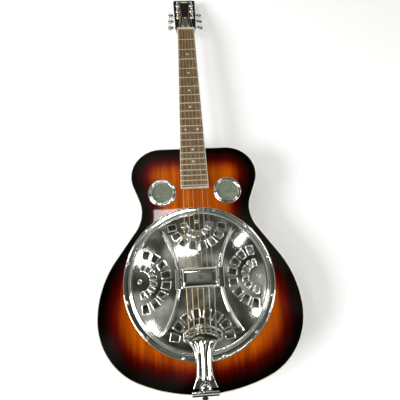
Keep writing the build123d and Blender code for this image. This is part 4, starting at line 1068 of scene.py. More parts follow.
@dataclass
class Body(Assembly):
    """The hollow body: sunburst top and back, stained sides and cream bindings."""

    lower_bout: float = 396.0
    lower_y: float = -60.0
    lower_radius: float = 189.0
    corner_radius: float = 128.0
    waist: float = 230.0
    waist_y: float = 142.0
    waist_radius: float = 70.0
    upper_bout: float = 276.0
    upper_radius: float = 65.0
    binding_width: float = 1.8
    top_thickness: float = 3.5
    back_thickness: float = 3.0
    well_radius: float = 134.5
    barrel_radius: float = 26.0
    screen_x: float = 70.0
    screen_y: float = 185.5
    step: float = 4.0
    rim_clearance: float = 2.5
    hole_clearance: float = 2.0

    def tangent(self, half: float, y: float, radius: float, side: int) -> tuple[
        float, np.ndarray, np.ndarray
    ]:
        """Where the straight stretch between a bout's arc and the waist's arc begins and ends.

        Args:
            half: Half of the bout's width.
            y: The place of its centre.
            radius: The radius of its arc.
            side: +1 for the lower bout and -1 for the upper one.
        Returns:
            The stretch's angle, the bout's arc centre and the waist's arc centre.
        """
        bout = np.array([half - radius, y])
        waist = np.array([self.waist / 2 + self.waist_radius, self.waist_y])
        span = waist - bout
        turn = acos((radius + self.waist_radius) / hypot(*span))
        return atan2(span[1], span[0]) - side * turn, bout, waist

    def outline(self) -> np.ndarray:
        """The body's outline.

        Returns:
            One row of x, y for each point, anticlockwise from the tail.
        """
        half = self.lower_bout / 2
        corner_x, rise = half - self.corner_radius, self.lower_y - LAYOUT.tail_y
        tail_radius = (corner_x**2 + rise**2 - self.corner_radius**2) / (2 * (rise - self.corner_radius))
        tail_centre = (0.0, LAYOUT.tail_y + tail_radius)
        join = atan2(self.lower_y - tail_centre[1], corner_x)
        top_y = LAYOUT.body_top_y
        low, low_bout, waist = self.tangent(half, self.lower_y, self.lower_radius, 1)
        high, high_bout, _ = self.tangent(
            self.upper_bout / 2, top_y - self.upper_radius, self.upper_radius, -1
        )
        corner = (corner_x, self.lower_y)
        right = arc_points(tail_centre, tail_radius, -pi / 2, join, 2.0)
        right += arc_points(corner, self.corner_radius, join, 0, 2.0)
        right += arc_points(tuple(low_bout), self.lower_radius, 0, low, 2.0)
        right += arc_points(tuple(waist), self.waist_radius, low + pi, high + pi, 2.0)
        right += arc_points(tuple(high_bout), self.upper_radius, high, pi / 2, 2.0)
        right += [(self.upper_bout / 2 - self.upper_radius, top_y)]
        left = [(-x, y) for x, y in reversed(right) if x > 0.1]
        return np.array(right + left)

    def plate(
        self, name: str, slot: str, top: float, thickness: float, holes: Sequence[np.ndarray]
    ) -> Object:
        """A flat plate inside the binding, that carries the distance from the body's edge.

        Args:
            name: The piece's name.
            slot: The finish.
            top: The plate's outer face.
            thickness: How far it goes down from there.
            holes: The outlines of its holes.
        Returns:
            The plate.
        """
        outline = self.outline()
        grid = hex_grid((-200, -205), (200, 295), self.step)
        depth = loop_distance(grid, outline)
        grid = grid[depth > self.binding_width + self.rim_clearance]
        for hole in holes:
            grid = grid[loop_distance(grid, hole) < -self.hole_clearance]
        rim = self.inset(outline, self.binding_width)

        def solid(middles: np.ndarray) -> np.ndarray:
            """Keep what is inside the rim and outside every hole.

            Args:
                middles: The middle of each triangle.
            Returns:
                Whether each one stays.
            """
            kept = loop_distance(middles, rim) > 0
            for hole in holes:
                kept &= loop_distance(middles, hole) < 0
            return kept

        plan, faces = fill_plan([rim, *holes], grid, solid)
        piece = mesh_sheet(name, np.c_[plan, np.full(len(plan), top)], faces, self.palette[slot])
        edge = piece.data.attributes.new("edge", "FLOAT", "POINT")
        edge.data.foreach_set("value", loop_distance(plan, outline) * MM)
        return thicken(piece, thickness, 30)

    @staticmethod
    def inset(loop: np.ndarray, depth: float) -> np.ndarray:
        """Draw an anticlockwise loop in.

        Args:
            loop: The loop's points.
            depth: How far they move in.
        Returns:
            The smaller loop.
        """
        way = np.roll(loop, -1, axis=0) - np.roll(loop, 1, axis=0)
        way /= np.hypot(*way.T)[:, None]
        return loop + depth * np.c_[-way[:, 1], way[:, 0]]

    def build(self) -> None:
        """Make the top and the back and dress the rest of the body."""
        well, small = circle(self.well_radius, 180), circle(self.barrel_radius, 60)
        barrels = [small + np.array([side.value * self.screen_x, self.screen_y]) for side in Side]
        top = self.plate("top_plate", "spruce_top", LAYOUT.top_z, self.top_thickness, [well, *barrels])
        self.fit(top, "guitar", "spruce_top", "soundboard")
        back = self.plate("back_plate", "back_wood", self.back_thickness, self.back_thickness, [])
        self.fit(back, "guitar", "back_wood", "back")
        self.dress("side_wood", "body_sides")
        self.dress("cream_binding", "top_binding", "back_binding")
        self.dress("inner_wood", "top_lining", "back_lining", "neck_block", "tail_block", "back_braces")
        self.dress("soundwell_wood", "soundwell")
        self.dress("spun_aluminium", "cone")
        self.dress("cast_aluminium", "spider")
        self.dress("saddle_maple", "saddle_inserts")
        self.dress("hardware_chrome", "tension_screw")


# ---- coverplate
@dataclass
class Coverplate(Assembly):
    """The pressed and chromed dome: fans of slots, hourglass ridge, rim bead and rim screws."""

    radius: float = 150.0
    flange_inner: float = 139.5
    thickness: float = 1.0
    window_length: float = 66.0
    window_width: float = 26.0
    fan_focus: float = 116.0
    fan_hole: float = 2.5
    slot_count: int = 8
    slot_pitch: float = 22.0
    inner_distance: float = 27.0
    inner_size: tuple[float, float, float] = (10.5, 5.5, 5.5)
    outer_distance: float = 52.0
    outer_size: tuple[float, float, float] = (15.0, 9.9, 12.5)
    band_waist: float = 41.0
    band_end: float = 75.0
    band_half_length: float = 100.0
    ridge_half: float = 4.4
    ridge_height: float = 2.3
    lip_width: float = 2.2
    lip_height: float = 0.95
    step_width: float = 2.4
    fade_length: float = 16.0
    rim_bead: tuple[float, float, float] = (147.9, 1.9, 0.9)
    dome_bead: tuple[float, float, float] = (133.2, 2.4, 1.1)
    bend_radii: tuple[float, ...] = (
        134.4, 133.2, 132.0, 130.8, 129.6, 135.6, 137.2, 138.4, 139.5, 142.5, 146.0, 147.0, 147.9, 148.8
    )
    around: int = 340
    grid_radius: float = 128.0
    least_gap: float = 0.42
    step: float = 2.6
    screw_circle: float = 145.0
    screw_count: int = 12
    screw_head: float = 3.2
    screw_rise: float = 2.2
    screw_length: float = 14.0

    def slots(self) -> list[np.ndarray]:
        """The openings of the plate.

        Returns:
            A convex loop of corners for each slot, each focus hole and the bridge window.
        """
        loops = []
        for focus in np.arange(4) * pi / 2:
            centre = self.fan_focus * np.array([cos(focus), sin(focus)])
            loops.append(centre + circle(self.fan_hole, 14))
            for index in range(self.slot_count):
                turn = focus + pi + radians((index - (self.slot_count - 1) / 2) * self.slot_pitch)
                out, across = np.array([cos(turn), sin(turn)]), np.array([-sin(turn), cos(turn)])
                for distance, (length, near, far) in (
                    (self.inner_distance, self.inner_size), (self.outer_distance, self.outer_size)
                ):
                    corners = ((-length, -near), (length, -far), (length, far), (-length, near))
                    middle = centre + distance * out
                    loops.append(np.array([middle + a / 2 * out + b / 2 * across for a, b in corners]))
        half_x, half_y = self.window_length / 2, self.window_width / 2
        loops.append(np.array([(-half_x, -half_y), (half_x, -half_y), (half_x, half_y), (-half_x, half_y)]))
        return loops

    @staticmethod
    def grown(corners: np.ndarray, depth: float, step: float) -> np.ndarray:
        """A convex loop moved outwards, with round corners and evenly spaced points.

        Args:
            corners: The loop's corners, anticlockwise.
            depth: How far it moves out.
            step: The distance between points on its sides.
        Returns:
            The grown loop's points.
        """
        points: list[np.ndarray] = []
        count = len(corners)
        for k in range(count):
            before, corner, after = corners[k - 1], corners[k], corners[(k + 1) % count]
            first = atan2(-(corner - before)[0], (corner - before)[1])
            last = atan2(-(after - corner)[0], (after - corner)[1])
            sweep = (last - first) % (2 * pi)
            bends = 3 if sweep > 0.9 and depth > 0 else 1
            for j in range(bends):
                angle = first + sweep * ((j + 0.5) / bends)
                reach = depth / (cos(sweep / 2) if bends == 1 else 1)
                points.append(corner + reach * np.array([cos(angle), sin(angle)]))
            span = hypot(*(after - corner))
            parts = max(1, round(span / step))
            normal = np.array([cos(last), sin(last)])
            for j in range(1, parts):
                points.append(corner + (after - corner) * j / parts + depth * normal)
        return np.array(points)

    def band(self, plan: np.ndarray) -> np.ndarray:
        """How far points lie inside the hourglass band's curved sides.

        Args:
            plan: One row of x, y for each point.
        Returns:
            One distance for each point, negative outside the band.
        """
        waist, end, half = self.band_waist, self.band_end, self.band_half_length
        radius = ((end - waist) ** 2 + half**2) / (2 * (end - waist))
        return np.hypot(waist + radius - np.abs(plan[:, 0]), plan[:, 1]) - radius

    def height(self, plan: np.ndarray, slot_gap: np.ndarray) -> np.ndarray:
        """Height of the pressed plate above the soundboard.

        Args:
            plan: One row of x, y for each point.
            slot_gap: The distance of each point from the nearest slot.
        Returns:
            One height for each point.
        """
        r = np.hypot(*plan.T)
        slope = np.clip((self.flange_inner - r) / (self.flange_inner - LAYOUT.dome_radius), 0, 1)
        slope = slope * slope * (3 - 2 * slope)
        dome = self.thickness + (LAYOUT.dome_edge - self.thickness) * slope
        dome += np.where(r < LAYOUT.dome_radius, LAYOUT.cap(np.minimum(r, LAYOUT.dome_radius)), 0)
        inside, along = self.band(plan), np.abs(plan[:, 1])
        raised = np.clip(inside / self.step_width + 0.5, 0, 1)
        fade = np.clip((self.band_half_length + 4 - along) / self.fade_length, 0, 1)
        fade = fade * fade * (3 - 2 * fade)
        dome += LAYOUT.band_height * raised * raised * (3 - 2 * raised) * fade
        under_foot = 0.7 + 0.3 * np.clip((along - 19) / 8, 0, 1)
        dome += self.ridge_height * self.bump(inside / self.ridge_half) * fade * under_foot
        dome += self.lip_height * self.bump(slot_gap / self.lip_width * 2 - 1)
        for place, half_width, rise in (self.rim_bead, self.dome_bead):
            dome += rise * self.bump((r - place) / half_width)
        return dome

    @staticmethod
    def bump(share: np.ndarray) -> np.ndarray:
        """A smooth round-topped ridge between -1 and 1."""
        return np.cos(np.clip(share, -1, 1) * pi / 2) ** 2

    def band_lines(self) -> np.ndarray:
        """Points along the hourglass ridge, so that the mesh bends where the plate does.

        Returns:
            One row of x, y for each point.
        """
        waist, end, half = self.band_waist, self.band_end, self.band_half_length
        radius = ((end - waist) ** 2 + half**2) / (2 * (end - waist))
        tilt = atan2(half, waist + radius - end)
        lines = []
        for offset in [-6.0, *np.linspace(-self.ridge_half, self.ridge_half, 9), 6.0]:
            turn = np.linspace(-tilt, tilt, 90) * 1.03
            x = waist + radius - (radius + offset) * np.cos(turn)
            y = (radius + offset) * np.sin(turn)
            for sign in (-1, 1):
                lines.append(np.c_[sign * x, y])
        return np.vstack(lines)

    def plate(self) -> Object:
        """Press the plate.

        Returns:
            The closed plate with its slots cut.
        """
        slots = self.slots()
        cuts, around = [], []
        for slot in slots:
            small = len(slot) > 4
            cuts.append(self.grown(slot, 0.0, 2.6 if not small else 9.0))
            for depth in (0.55, 1.1, 1.65, 2.2, 2.8):
                around.append(self.grown(slot, depth, 2.6 if not small else 9.0))
        rims = [circle(radius, self.around) for radius in self.bend_radii]
        rim = circle(self.radius - 0.1, self.around)
        grid = hex_grid((-150, -150), (150, 150), self.step)
        grid = grid[
            (np.hypot(*grid.T) < self.grid_radius) & (np.abs(self.band(grid)) > self.ridge_half + 2.4)
        ]
        gap = self.gaps(grid, slots)
        grid = grid[gap > self.lip_width + 1.6]
        band = self.band_lines()
        band = band[(np.hypot(*band.T) < 128.6) & (self.gaps(band, slots) > self.lip_width + 0.5)]
        near = np.vstack(around)
        own = self.gaps(near, slots)
        near = near[own > 0.4]
        loose = self.thin(np.vstack([*rims, near, band, grid]), self.least_gap)

        def metal(middles: np.ndarray) -> np.ndarray:
            """Keep what is inside the rim and outside every slot."""
            return (np.hypot(*middles.T) < self.radius) & (self.gaps(middles, slots) > 0)

        plan, faces = fill_plan([rim, *cuts], loose, metal)
        z = LAYOUT.top_z + self.height(plan, np.maximum(self.gaps(plan, slots), 0))
        piece = mesh_sheet("coverplate_dome", np.c_[plan, z], faces, self.palette["coverplate_chrome"])
        plate = thicken(piece, self.thickness, 62)
        self.press(plate, slots)
        return plate

    def press(self, plate: Object, slots: Sequence[np.ndarray]) -> None:
        """Give the plate the pressing's own normals, so that its highlights run evenly.

        Args:
            plate: The thickened plate.
            slots: The outlines of the slots.
        """
        mesh = plate.data
        places = np.empty(len(mesh.vertices) * 3)
        mesh.vertices.foreach_get("co", places)
        plan = places.reshape(-1, 3)[:, :2] / MM
        reach = 0.15
        rise = []
        for axis in np.eye(2):
            ends = [plan + sign * reach * axis for sign in (1, -1)]
            high, low = (self.height(end, np.maximum(self.gaps(end, slots), 0)) for end in ends)
            rise.append((high - low) / (2 * reach))
        up = np.c_[-rise[0], -rise[1], np.ones(len(plan))]
        up /= np.linalg.norm(up, axis=1)[:, None]
        corner_vertex = np.empty(len(mesh.loops), int)
        mesh.loops.foreach_get("vertex_index", corner_vertex)
        face_normal = np.empty(len(mesh.polygons) * 3)
        mesh.polygons.foreach_get("normal", face_normal)
        sizes = np.empty(len(mesh.polygons), int)
        mesh.polygons.foreach_get("loop_total", sizes)
        facing = np.repeat(face_normal.reshape(-1, 3), sizes, axis=0)
        normals = up[corner_vertex] * np.sign(facing[:, 2:])
        wall = np.abs(facing[:, 2]) < 0.3
        normals[wall] = facing[wall]
        mesh.normals_split_custom_set(normals.tolist())

    @staticmethod
    def thin(points: np.ndarray, apart: float) -> np.ndarray:
        """Drop points that lie too close to an earlier one.

        Args:
            points: One row of x, y for each point.
            apart: The least distance between two of them.
        Returns:
            The points that stay.
        """
        tree = KDTree(len(points))
        for k, p in enumerate(points):
            tree.insert((p[0], p[1], 0), k)
        tree.balance()
        gone = np.zeros(len(points), bool)
        for k, p in enumerate(points):
            if not gone[k]:
                for _, other, _ in tree.find_range((p[0], p[1], 0), apart):
                    if other > k:
                        gone[other] = True
        return points[~gone]

    @staticmethod
    def gaps(points: np.ndarray, slots: Sequence[np.ndarray]) -> np.ndarray:
        """Distance from points to the nearest slot.

        Args:
            points: One row of x, y for each point.
            slots: The outlines of the slots.
        Returns:
            One distance for each point, negative inside a slot.
        """
        nearest = np.full(len(points), 99.0)
        for slot in slots:
            middle = slot.mean(axis=0)
            reach = np.abs(slot - middle).max() * 1.5 + 8
            close = np.hypot(*(points - middle).T) < reach
            if close.any():
                nearest[close] = np.minimum(nearest[close], -loop_distance(points[close], slot))
        return nearest

    def screws(self) -> Object:
        """The oval-head screws round the rim, each with its slot turned its own way.

        Returns:
            One piece with all the screws.
        """
        head, rise = self.screw_head, self.screw_rise
        profile = [
            (1.4, -self.screw_length), (1.5, -self.screw_length + 1), (1.5, -0.2), (head, -0.2), (head, 0.25)
        ]
        profile += [(head * cos(a), 0.25 + (rise - 0.25) * sin(a)) for a in np.linspace(0.25, 1.25, 5)]
        profile += [(0.02, rise)]
        points, faces = lathe(profile, 20)
        sunk = (np.abs(points[:, 0]) < 0.55) & (points[:, 2] > 0.6)
        points[sunk, 2] -= 0.8
        master = mesh_piece("screw_master", points, faces, self.palette["hardware_chrome"], 30)
        places = []
        for k in range(self.screw_count):
            turn = radians(15 + 360 / self.screw_count * k)
            at = Vector(
                (self.screw_circle * cos(turn), self.screw_circle * sin(turn), LAYOUT.top_z + 1.0)
            ) * MM
            places.append(Matrix.Translation(at) @ Matrix.Rotation(radians(67.0 * k), 4, "Z"))
        return seat_copies("coverplate_rim_screws", master, places, self.palette["hardware_chrome"])

    def build(self) -> None:
        """Make the plate and its screws."""
        self.fit(self.plate(), "guitar", "coverplate_chrome", "coverplate")
        self.fit(self.screws(), "guitar", "hardware_chrome", "coverplate_screws")


# ---- handrest
@dataclass
class Handrest(Assembly):
    """The bridge guard: a bent strap with rolled sides, flared legs and two feet."""

    half_length: float = 32.0
    half_width: float = 19.0
    flat_half: float = 9.0
    drop: float = 6.2
    thickness: float = 1.8
    flare: float = 4.0
    foot: float = 11.0
    foot_lift: float = 2.6
    top_z: float = 121.9
    corner: float = 5.0
    hole: float = 2.6

    def path(self) -> np.ndarray:
        """The strap's bent line.

        Returns:
            Rows of x, z, share of the roll and direction of the outer face.
        """
        foot_z = LAYOUT.top_z + LAYOUT.dome_height(self.half_length) + self.foot_lift
        leg = self.half_length + self.flare
        lean = atan2(self.flare, self.top_z - foot_z)
        rows: list[tuple[float, float, float, float]] = []
        for x in (leg + self.foot, leg + self.foot - 0.7, leg + self.foot * 0.66, leg + self.foot * 0.33):
            rows.append((x, foot_z - (0.5 if x == leg + self.foot else 0.0), 0.0, pi / 2))
        bend = 1.8
        for share in np.linspace(0, 1, 4):
            angle = pi / 2 + (lean - pi / 2) * share
            rows.append(
                (
                    leg + bend * (1 - sin(share * pi / 2)), foot_z + bend * (1 - cos(share * pi / 2)), 0.0,
                    angle
                )
            )
        for share in (0.3, 0.55, 0.8):
            z = foot_z + (self.top_z - foot_z - self.corner) * share
            rows.append((leg - (z - foot_z) * self.flare / (self.top_z - foot_z), z, share * 0.7, lean))
        centre_x = self.half_length - self.corner + 0.9
        for share in np.linspace(0, 1, 6):
            angle = lean + (pi / 2 - lean) * share
            rows.append(
                (
                    centre_x + self.corner * cos(angle), self.top_z - self.corner + self.corner * sin(angle),
                    0.7 + 0.3 * share, angle
                )
            )
        for x in (22.0, 15.0, 9.0, self.hole + 1.2, self.hole * 0.7, 0.0):
            rows.append((x, self.top_z, 1.0, pi / 2))
        left = [(-x, z, roll, pi - a) for x, z, roll, a in reversed(rows[:-1])]
        return np.array(rows + left)

    def build(self) -> None:
        """Bend the strap and screw it down."""
        path = self.path()
        across = np.array([-1, -0.985, -0.93, -0.84, -0.74, -0.62, -0.5, -0.36, -0.17, -0.09, 0])
        across = np.concatenate([across, -across[-2::-1]]) * self.half_width
        rolled = np.clip((np.abs(across) - self.flat_half) / (self.half_width - self.flat_half), 0, 1)
        outer, inner = [], []
        for x, z, roll, angle in path:
            sink = roll * self.drop * (1 - np.sqrt(1 - (rolled * 0.97) ** 2)) / (1 - sqrt(1 - 0.97**2))
            edge = np.where(rolled > 0.99, 0.25, 0.0)
            normal = np.array([cos(angle), sin(angle)])
            for y, s, e in zip(across, sink, edge):
                lift = -s - e
                outer.append((x + normal[0] * lift, y, z + normal[1] * lift))
                inner.append(
                    (
                        x + normal[0] * (lift - self.thickness + 2 * e),
                        y,
                        z + normal[1] * (lift - self.thickness + 2 * e),
                    )
                )
        points, faces = wall_between(np.array(outer), np.array(inner), len(path), len(across))
        strap = mesh_piece("bridge_guard", points, faces, self.palette["coverplate_chrome"], 35)
        self.fit(strap, "guitar", "coverplate_chrome", "handrest")
        # puts the black disc of painted shade into the hole over the tension screw
        self.screws()
        self.dress("hardware_chrome", "handrest_screws")

    def screws(self) -> None:
        """Close the hole over the cone's tension screw with a dimpled black disc, a dark piece that stands
        for the painted shade inside the hole.
        """
        rim = [
            (self.hole + 1.1, -0.6), (self.hole + 1.1, 0.05), (self.hole + 0.6, 0.35), (self.hole, 0.1),
            (0.9, -0.5), (0.02, -0.6)
        ]
        points, faces = lathe(rim, 28)
        points[:, 2] += self.top_z
        # painted shade: a black disc fills the hole where only shade is seen
        cap = mesh_piece("guard_hole_cap", points, faces, self.palette["black_plastic"], 30)
        self.fit(cap, "guitar", "black_plastic")


# ---- screens
@dataclass
class Screens(Assembly):
    """The two stepped chrome rings with their discs of woven wire."""

    x: float = 70.0
    y: float = 185.5
    ring_radius: float = 30.5
    bore: float = 22.0
    lip: float = 1.8
    pitch: float = 1.7
    wire: float = 0.6
    rise: float = 1.6

    def weave(self, side: Side) -> Object:
        """Weave one disc: crossed wires that pass over and under each other, slightly domed.

        Args:
            side: Which screen.
        Returns:
            The disc.
        """
        radius = (self.bore + self.lip - 0.3) * MM
        name = f"woven_screen_{side.name.lower()}"
        weave = Pattern(name + "_weave")
        pitch = weave.size("Pitch", self.pitch * MM)
        reach = weave.size("Disc radius", radius)
        thin = weave.size("Wire radius", self.wire / 2 * MM)
        rise = weave.size("Rise", self.rise * MM)
        centre = weave.size(
            "Centre", (side.value * self.x * MM, self.y * MM, (LAYOUT.top_z - 1.4) * MM), "NodeSocketVector"
        )
        count = int(2 * radius / (self.pitch * MM))
        samples = 4 * count

        start = weave.add("ShaderNodeCombineXYZ", {"X": weave.maths("MULTIPLY", reach, -1.0)})
        stop = weave.add("ShaderNodeCombineXYZ", {"X": reach})
        line = weave.add("GeometryNodeCurvePrimitiveLine", {"Start": start, "End": stop})
        line = weave.add("GeometryNodeResampleCurve", {"Curve": line}, {"Count": samples + 1})
        first = weave.add("ShaderNodeCombineXYZ", {"Y": weave.maths("MULTIPLY", pitch, -count / 2)})
        offset = weave.add("ShaderNodeCombineXYZ", {"Y": pitch})
        rows = weave.add(
            "GeometryNodeMeshLine", {"Start Location": first, "Offset": offset}, {"Count": count + 1}
        )
        wires = weave.add("GeometryNodeInstanceOnPoints", {"Points": rows, "Instance": line})
        wires = weave.add("GeometryNodeRealizeInstances", {"Geometry": wires})
        turned = weave.add("GeometryNodeTransform", {"Geometry": wires}, {"Rotation": (0, 0, pi / 2)})
        discs = []
        for sign, part in ((1.0, wires), (-1.0, turned)):
            at = weave.add("GeometryNodeInputPosition")
            split = add(weave.tree, "ShaderNodeSeparateXYZ", {0: at}).outputs
            step = weave.maths("DIVIDE", pi, pitch)
            over = weave.maths(
                "MULTIPLY",
                weave.maths("COSINE", weave.maths("MULTIPLY", split[0], step)),
                weave.maths("COSINE", weave.maths("MULTIPLY", split[1], step)),
            )
            over = weave.maths("MULTIPLY", over, weave.maths("MULTIPLY", thin, 1.15 * sign))
            away = weave.maths(
                "ADD", weave.maths("POWER", split[0], 2.0), weave.maths("POWER", split[1], 2.0)
            )
            away = weave.maths("DIVIDE", away, weave.maths("MULTIPLY", reach, reach))
            dome = weave.maths("MULTIPLY", rise, weave.maths("SUBTRACT", 1.0, away))
            lift = weave.add("ShaderNodeCombineXYZ", {"Z": weave.maths("ADD", over, dome)})
            outside = weave.add(
                "FunctionNodeCompare", {0: away}, {1: 1.0}, data_type="FLOAT", operation="GREATER_THAN"
            )
            shaped = weave.add("GeometryNodeSetPosition", {"Geometry": part, "Offset": lift})
            discs.append(weave.add("GeometryNodeDeleteGeometry", {"Geometry": shaped, "Selection": outside}))
        both = weave.tree.nodes.new("GeometryNodeJoinGeometry")
        for disc in discs:
            weave.tree.links.new(disc, both.inputs[0])
        section = weave.add("GeometryNodeCurvePrimitiveCircle", {"Radius": thin}, {"Resolution": 4})
        tubes = weave.add(
            "GeometryNodeCurveToMesh",
            {"Curve": both.outputs[0], "Profile Curve": section},
            {"Fill Caps": True},
        )
        placed = weave.add("GeometryNodeTransform", {"Geometry": tubes, "Translation": centre})
        return weave.make(name, placed, self.palette["screen_mesh"], crease=70)

    def ring(self, side: Side) -> Object:
        """Turn one stepped ring.

        Args:
            side: Which screen.
        Returns:
            The ring.
        """
        r, bore = self.ring_radius, self.bore
        section = [
            (bore + self.lip, -5.0), (25.9, -5.0), (25.9, -0.05), (r, 0.0), (r, 0.7), (r - 0.5, 1.5),
            (r - 1.5, 2.25), (r - 2.8, 2.6), (r - 3.6, 2.35), (r - 4.1, 2.0), (bore + 3.6, 2.0),
            (bore + 3.2, 2.45), (bore + 2.4, 2.8), (bore + 1.5, 2.55), (bore + 0.9, 1.9), (bore + 0.2, 1.0),
            (bore, 0.6), (bore, -0.2), (bore + self.lip, -0.4)
        ]
        sides = 96
        middle = np.array([side.value * self.x, self.y, LAYOUT.top_z])
        points = ring_rows(section + section[:1], sides) + middle
        faces = grid_faces(len(section) + 1, sides, loop=True)
        return mesh_piece(
            f"screen_ring_{side.name.lower()}", points, faces, self.palette["hardware_chrome"], 50
        )

    def build(self) -> None:
        """Make both screens."""
        for side in Side:
            self.fit(self.ring(side), "guitar", "hardware_chrome", "screen_rings")
            self.fit(self.weave(side), "guitar", "screen_mesh", "screen_meshes")


# ---- tailpiece
@dataclass
class Tailpiece(Assembly):
    """The cast tailpiece: ridged comb, fluted tulip stem, boss and hinge."""

    comb_half: float = 36.0
    comb_arc: float = 60.0
    comb_rear: float = -25.0
    comb_thickness: float = 7.0
    stem_thickness: float = 3.6
    stem_half: float = 15.0
    stem_end_half: float = 22.5
    ridge_pitch: float = 4.6
    ridge_rise: float = 2.1
    string_height: float = 4.5
    play: float = 2.4
    knuckle_half: float = 11.7
    boss_radius: float = 10.0
    boss_inset: float = 13.0
    spread: float = 50.0
    ball_radius: float = 1.7
    ridge_start: float = 0.9
    ridges: int = 3
    edge_round: float = 2.0
    stem_end: float = -105.5
    flute_depth: float = 1.9
    flute_limit: float = 1.5
    stem_bevel: float = 1.4
    pocket_half: float = 2.25

    def string_places(self) -> list[tuple[float, float]]:
        """The place across the comb and the radius of each string."""
        return [(self.spread * (2.5 - k) / 5, d / 2) for k, d in enumerate(LAYOUT.string_diameters)]

    def comb(self) -> Object:
        """Cast the comb: three round ridges that follow its arched front, with six string slots.

        Returns:
            The comb.
        """
        columns = list(np.linspace(-self.comb_half, self.comb_half, 61))
        columns[0] += 0.4
        columns[-1] -= 0.4
        columns += [-self.comb_half, self.comb_half]
        for x, r in self.string_places():
            for edge in (r + 0.5, r + 0.56, self.pocket_half, self.pocket_half + 0.06):
                columns += [x - edge, x + edge]
        xs = np.unique(np.round(columns, 3))
        share = np.concatenate([[0, 0.012, 0.03], np.linspace(0.06, 0.97, 74), [0.985, 1]])
        plan, top = [], []
        for v in share:
            for x in xs:
                front = sqrt(self.comb_arc**2 - x * x) - self.comb_arc
                y = front + (self.comb_rear - front) * v
                depth = self.comb_arc - hypot(x, y + self.comb_arc)
                phase = ((depth - self.ridge_start) / self.ridge_pitch) % 1
                on_ridge = self.ridge_start < depth < self.ridge_start + self.ridges * self.ridge_pitch
                ridge = self.ridge_rise * sin(pi * phase) ** 1.4 if on_ridge else 0
                h = self.comb_thickness + ridge - 2.6 * np.clip((depth - 15.5) / 8.5, 0, 1) ** 1.5
                round_off = min(depth, self.comb_half - abs(x), self.edge_round) / self.edge_round
                h -= 1.5 * (1 - sqrt(max(0.0, 1 - (1 - max(0.0, round_off)) ** 2)))
                for sx, sr in self.string_places():
                    ball = sqrt((self.comb_arc - 13) ** 2 - sx * sx) - self.comb_arc
                    in_pocket = abs(y - ball) < self.pocket_half + 0.4
                    wide = self.pocket_half + 0.03 if in_pocket else sr + 0.53
                    if abs(x - sx) < wide and y > ball - self.pocket_half - 0.4:
                        h = min(h, self.string_height - (self.ball_radius if in_pocket else sr) - self.play)
                plan.append((x, y))
                top.append(max(h, 0.4))
        plan_a, top_a = np.array(plan), np.array(top)
        low = np.c_[plan_a, np.zeros(len(plan_a))]
        points, faces = wall_between(np.c_[plan_a, top_a], low, len(share), len(xs))
        return mesh_piece(
            "tailpiece_comb", LAYOUT.comb.at(points), faces, self.palette["coverplate_chrome"], 55
        )

    def stem_width(self, y: np.ndarray) -> np.ndarray:
        """Half of the stem's width.

        Args:
            y: Places along the stem.
        Returns:
            The half width at each place.
        """
        ends = [
            self.comb_rear + 3, self.comb_rear - 4, self.comb_rear - 20, self.comb_rear - 44, -97.0, -105.5
        ]
        halves = [33.0, 27.5, 18.2, self.stem_half, 19.0, self.stem_end_half]
        order = np.argsort(ends)
        places, widths = np.array(ends)[order], np.array(halves)[order]
        slopes = np.gradient(widths, places)
        k = np.clip(np.searchsorted(places, y) - 1, 0, len(places) - 2)
        span = places[k + 1] - places[k]
        t = np.clip((y - places[k]) / span, 0, 1)
        return (
            (2 * t**3 - 3 * t**2 + 1) * widths[k] + (t**3 - 2 * t**2 + t) * span * slopes[k]
            + (3 * t**2 - 2 * t**3) * widths[k + 1] + (t**3 - t**2) * span * slopes[k + 1]
        )

    def stem(self) -> Object:
        """Cast the stem: a raised middle petal between two flutes, and a ridge along each edge.

        Returns:
            The stem.
        """
        along = np.linspace(self.comb_rear + 3, self.stem_end, 72)
        across = np.linspace(-1, 1, 45)
        wide = self.stem_width(along)
        plan, top = [], []
        for y, half in zip(along, wide):
            end = np.clip((self.comb_rear - y) / 6, 0, 1) * np.clip((y + 96) / 10, 0, 1)
            for u in across:
                swell = self.flute_depth * cos(3 * pi * abs(u) * 0.93) * end
                edge = sqrt(max(0.0, 1 - max(0.0, (abs(u) - 0.86) / 0.14) ** 2))
                plan.append((u * half, y))
                rounded = self.stem_bevel * edge + max(swell, -self.flute_limit)
                top.append(self.stem_thickness - self.stem_bevel + rounded + 0.25)
        plan_a = np.array(plan)
        low = np.c_[plan_a, np.zeros(len(plan_a))]
        points, faces = wall_between(np.c_[plan_a, np.array(top)], low, len(along), len(across))
        return mesh_piece(
            "tailpiece_stem", LAYOUT.comb.at(points), faces, self.palette["coverplate_chrome"], 50
        )

    def knuckle(self) -> Object:
        """The tongue and the rolled barrel that turn on the hinge pin.

        Returns:
            Both as one piece.
        """
        y, z = LAYOUT.hinge
        points, faces = lathe(
            [(LAYOUT.hinge_radius, -self.knuckle_half), (LAYOUT.hinge_radius, self.knuckle_half)], 28
        )
        points = np.c_[points[:, 2], points[:, 0] + y, points[:, 1] + z]
        reach = (LAYOUT.comb_front_y - y) / cos(LAYOUT.comb.slope)
        grid = np.array(
            [
                (x, v)
                for v in np.linspace(-104.0, -reach, 6)
                for x in np.linspace(-self.knuckle_half, self.knuckle_half, 9)
            ]
        )
        tongue, more = wall_between(
            np.c_[grid, np.full(len(grid), self.stem_thickness)], np.c_[grid, np.full(len(grid), 0.1)], 6, 9
        )
        faces = list(faces) + [tuple(k + len(points) for k in f) for f in more]
        points = np.vstack([points, LAYOUT.comb.at(tongue)])
        return mesh_piece("tailpiece_knuckle", points, faces, self.palette["coverplate_chrome"], 40)

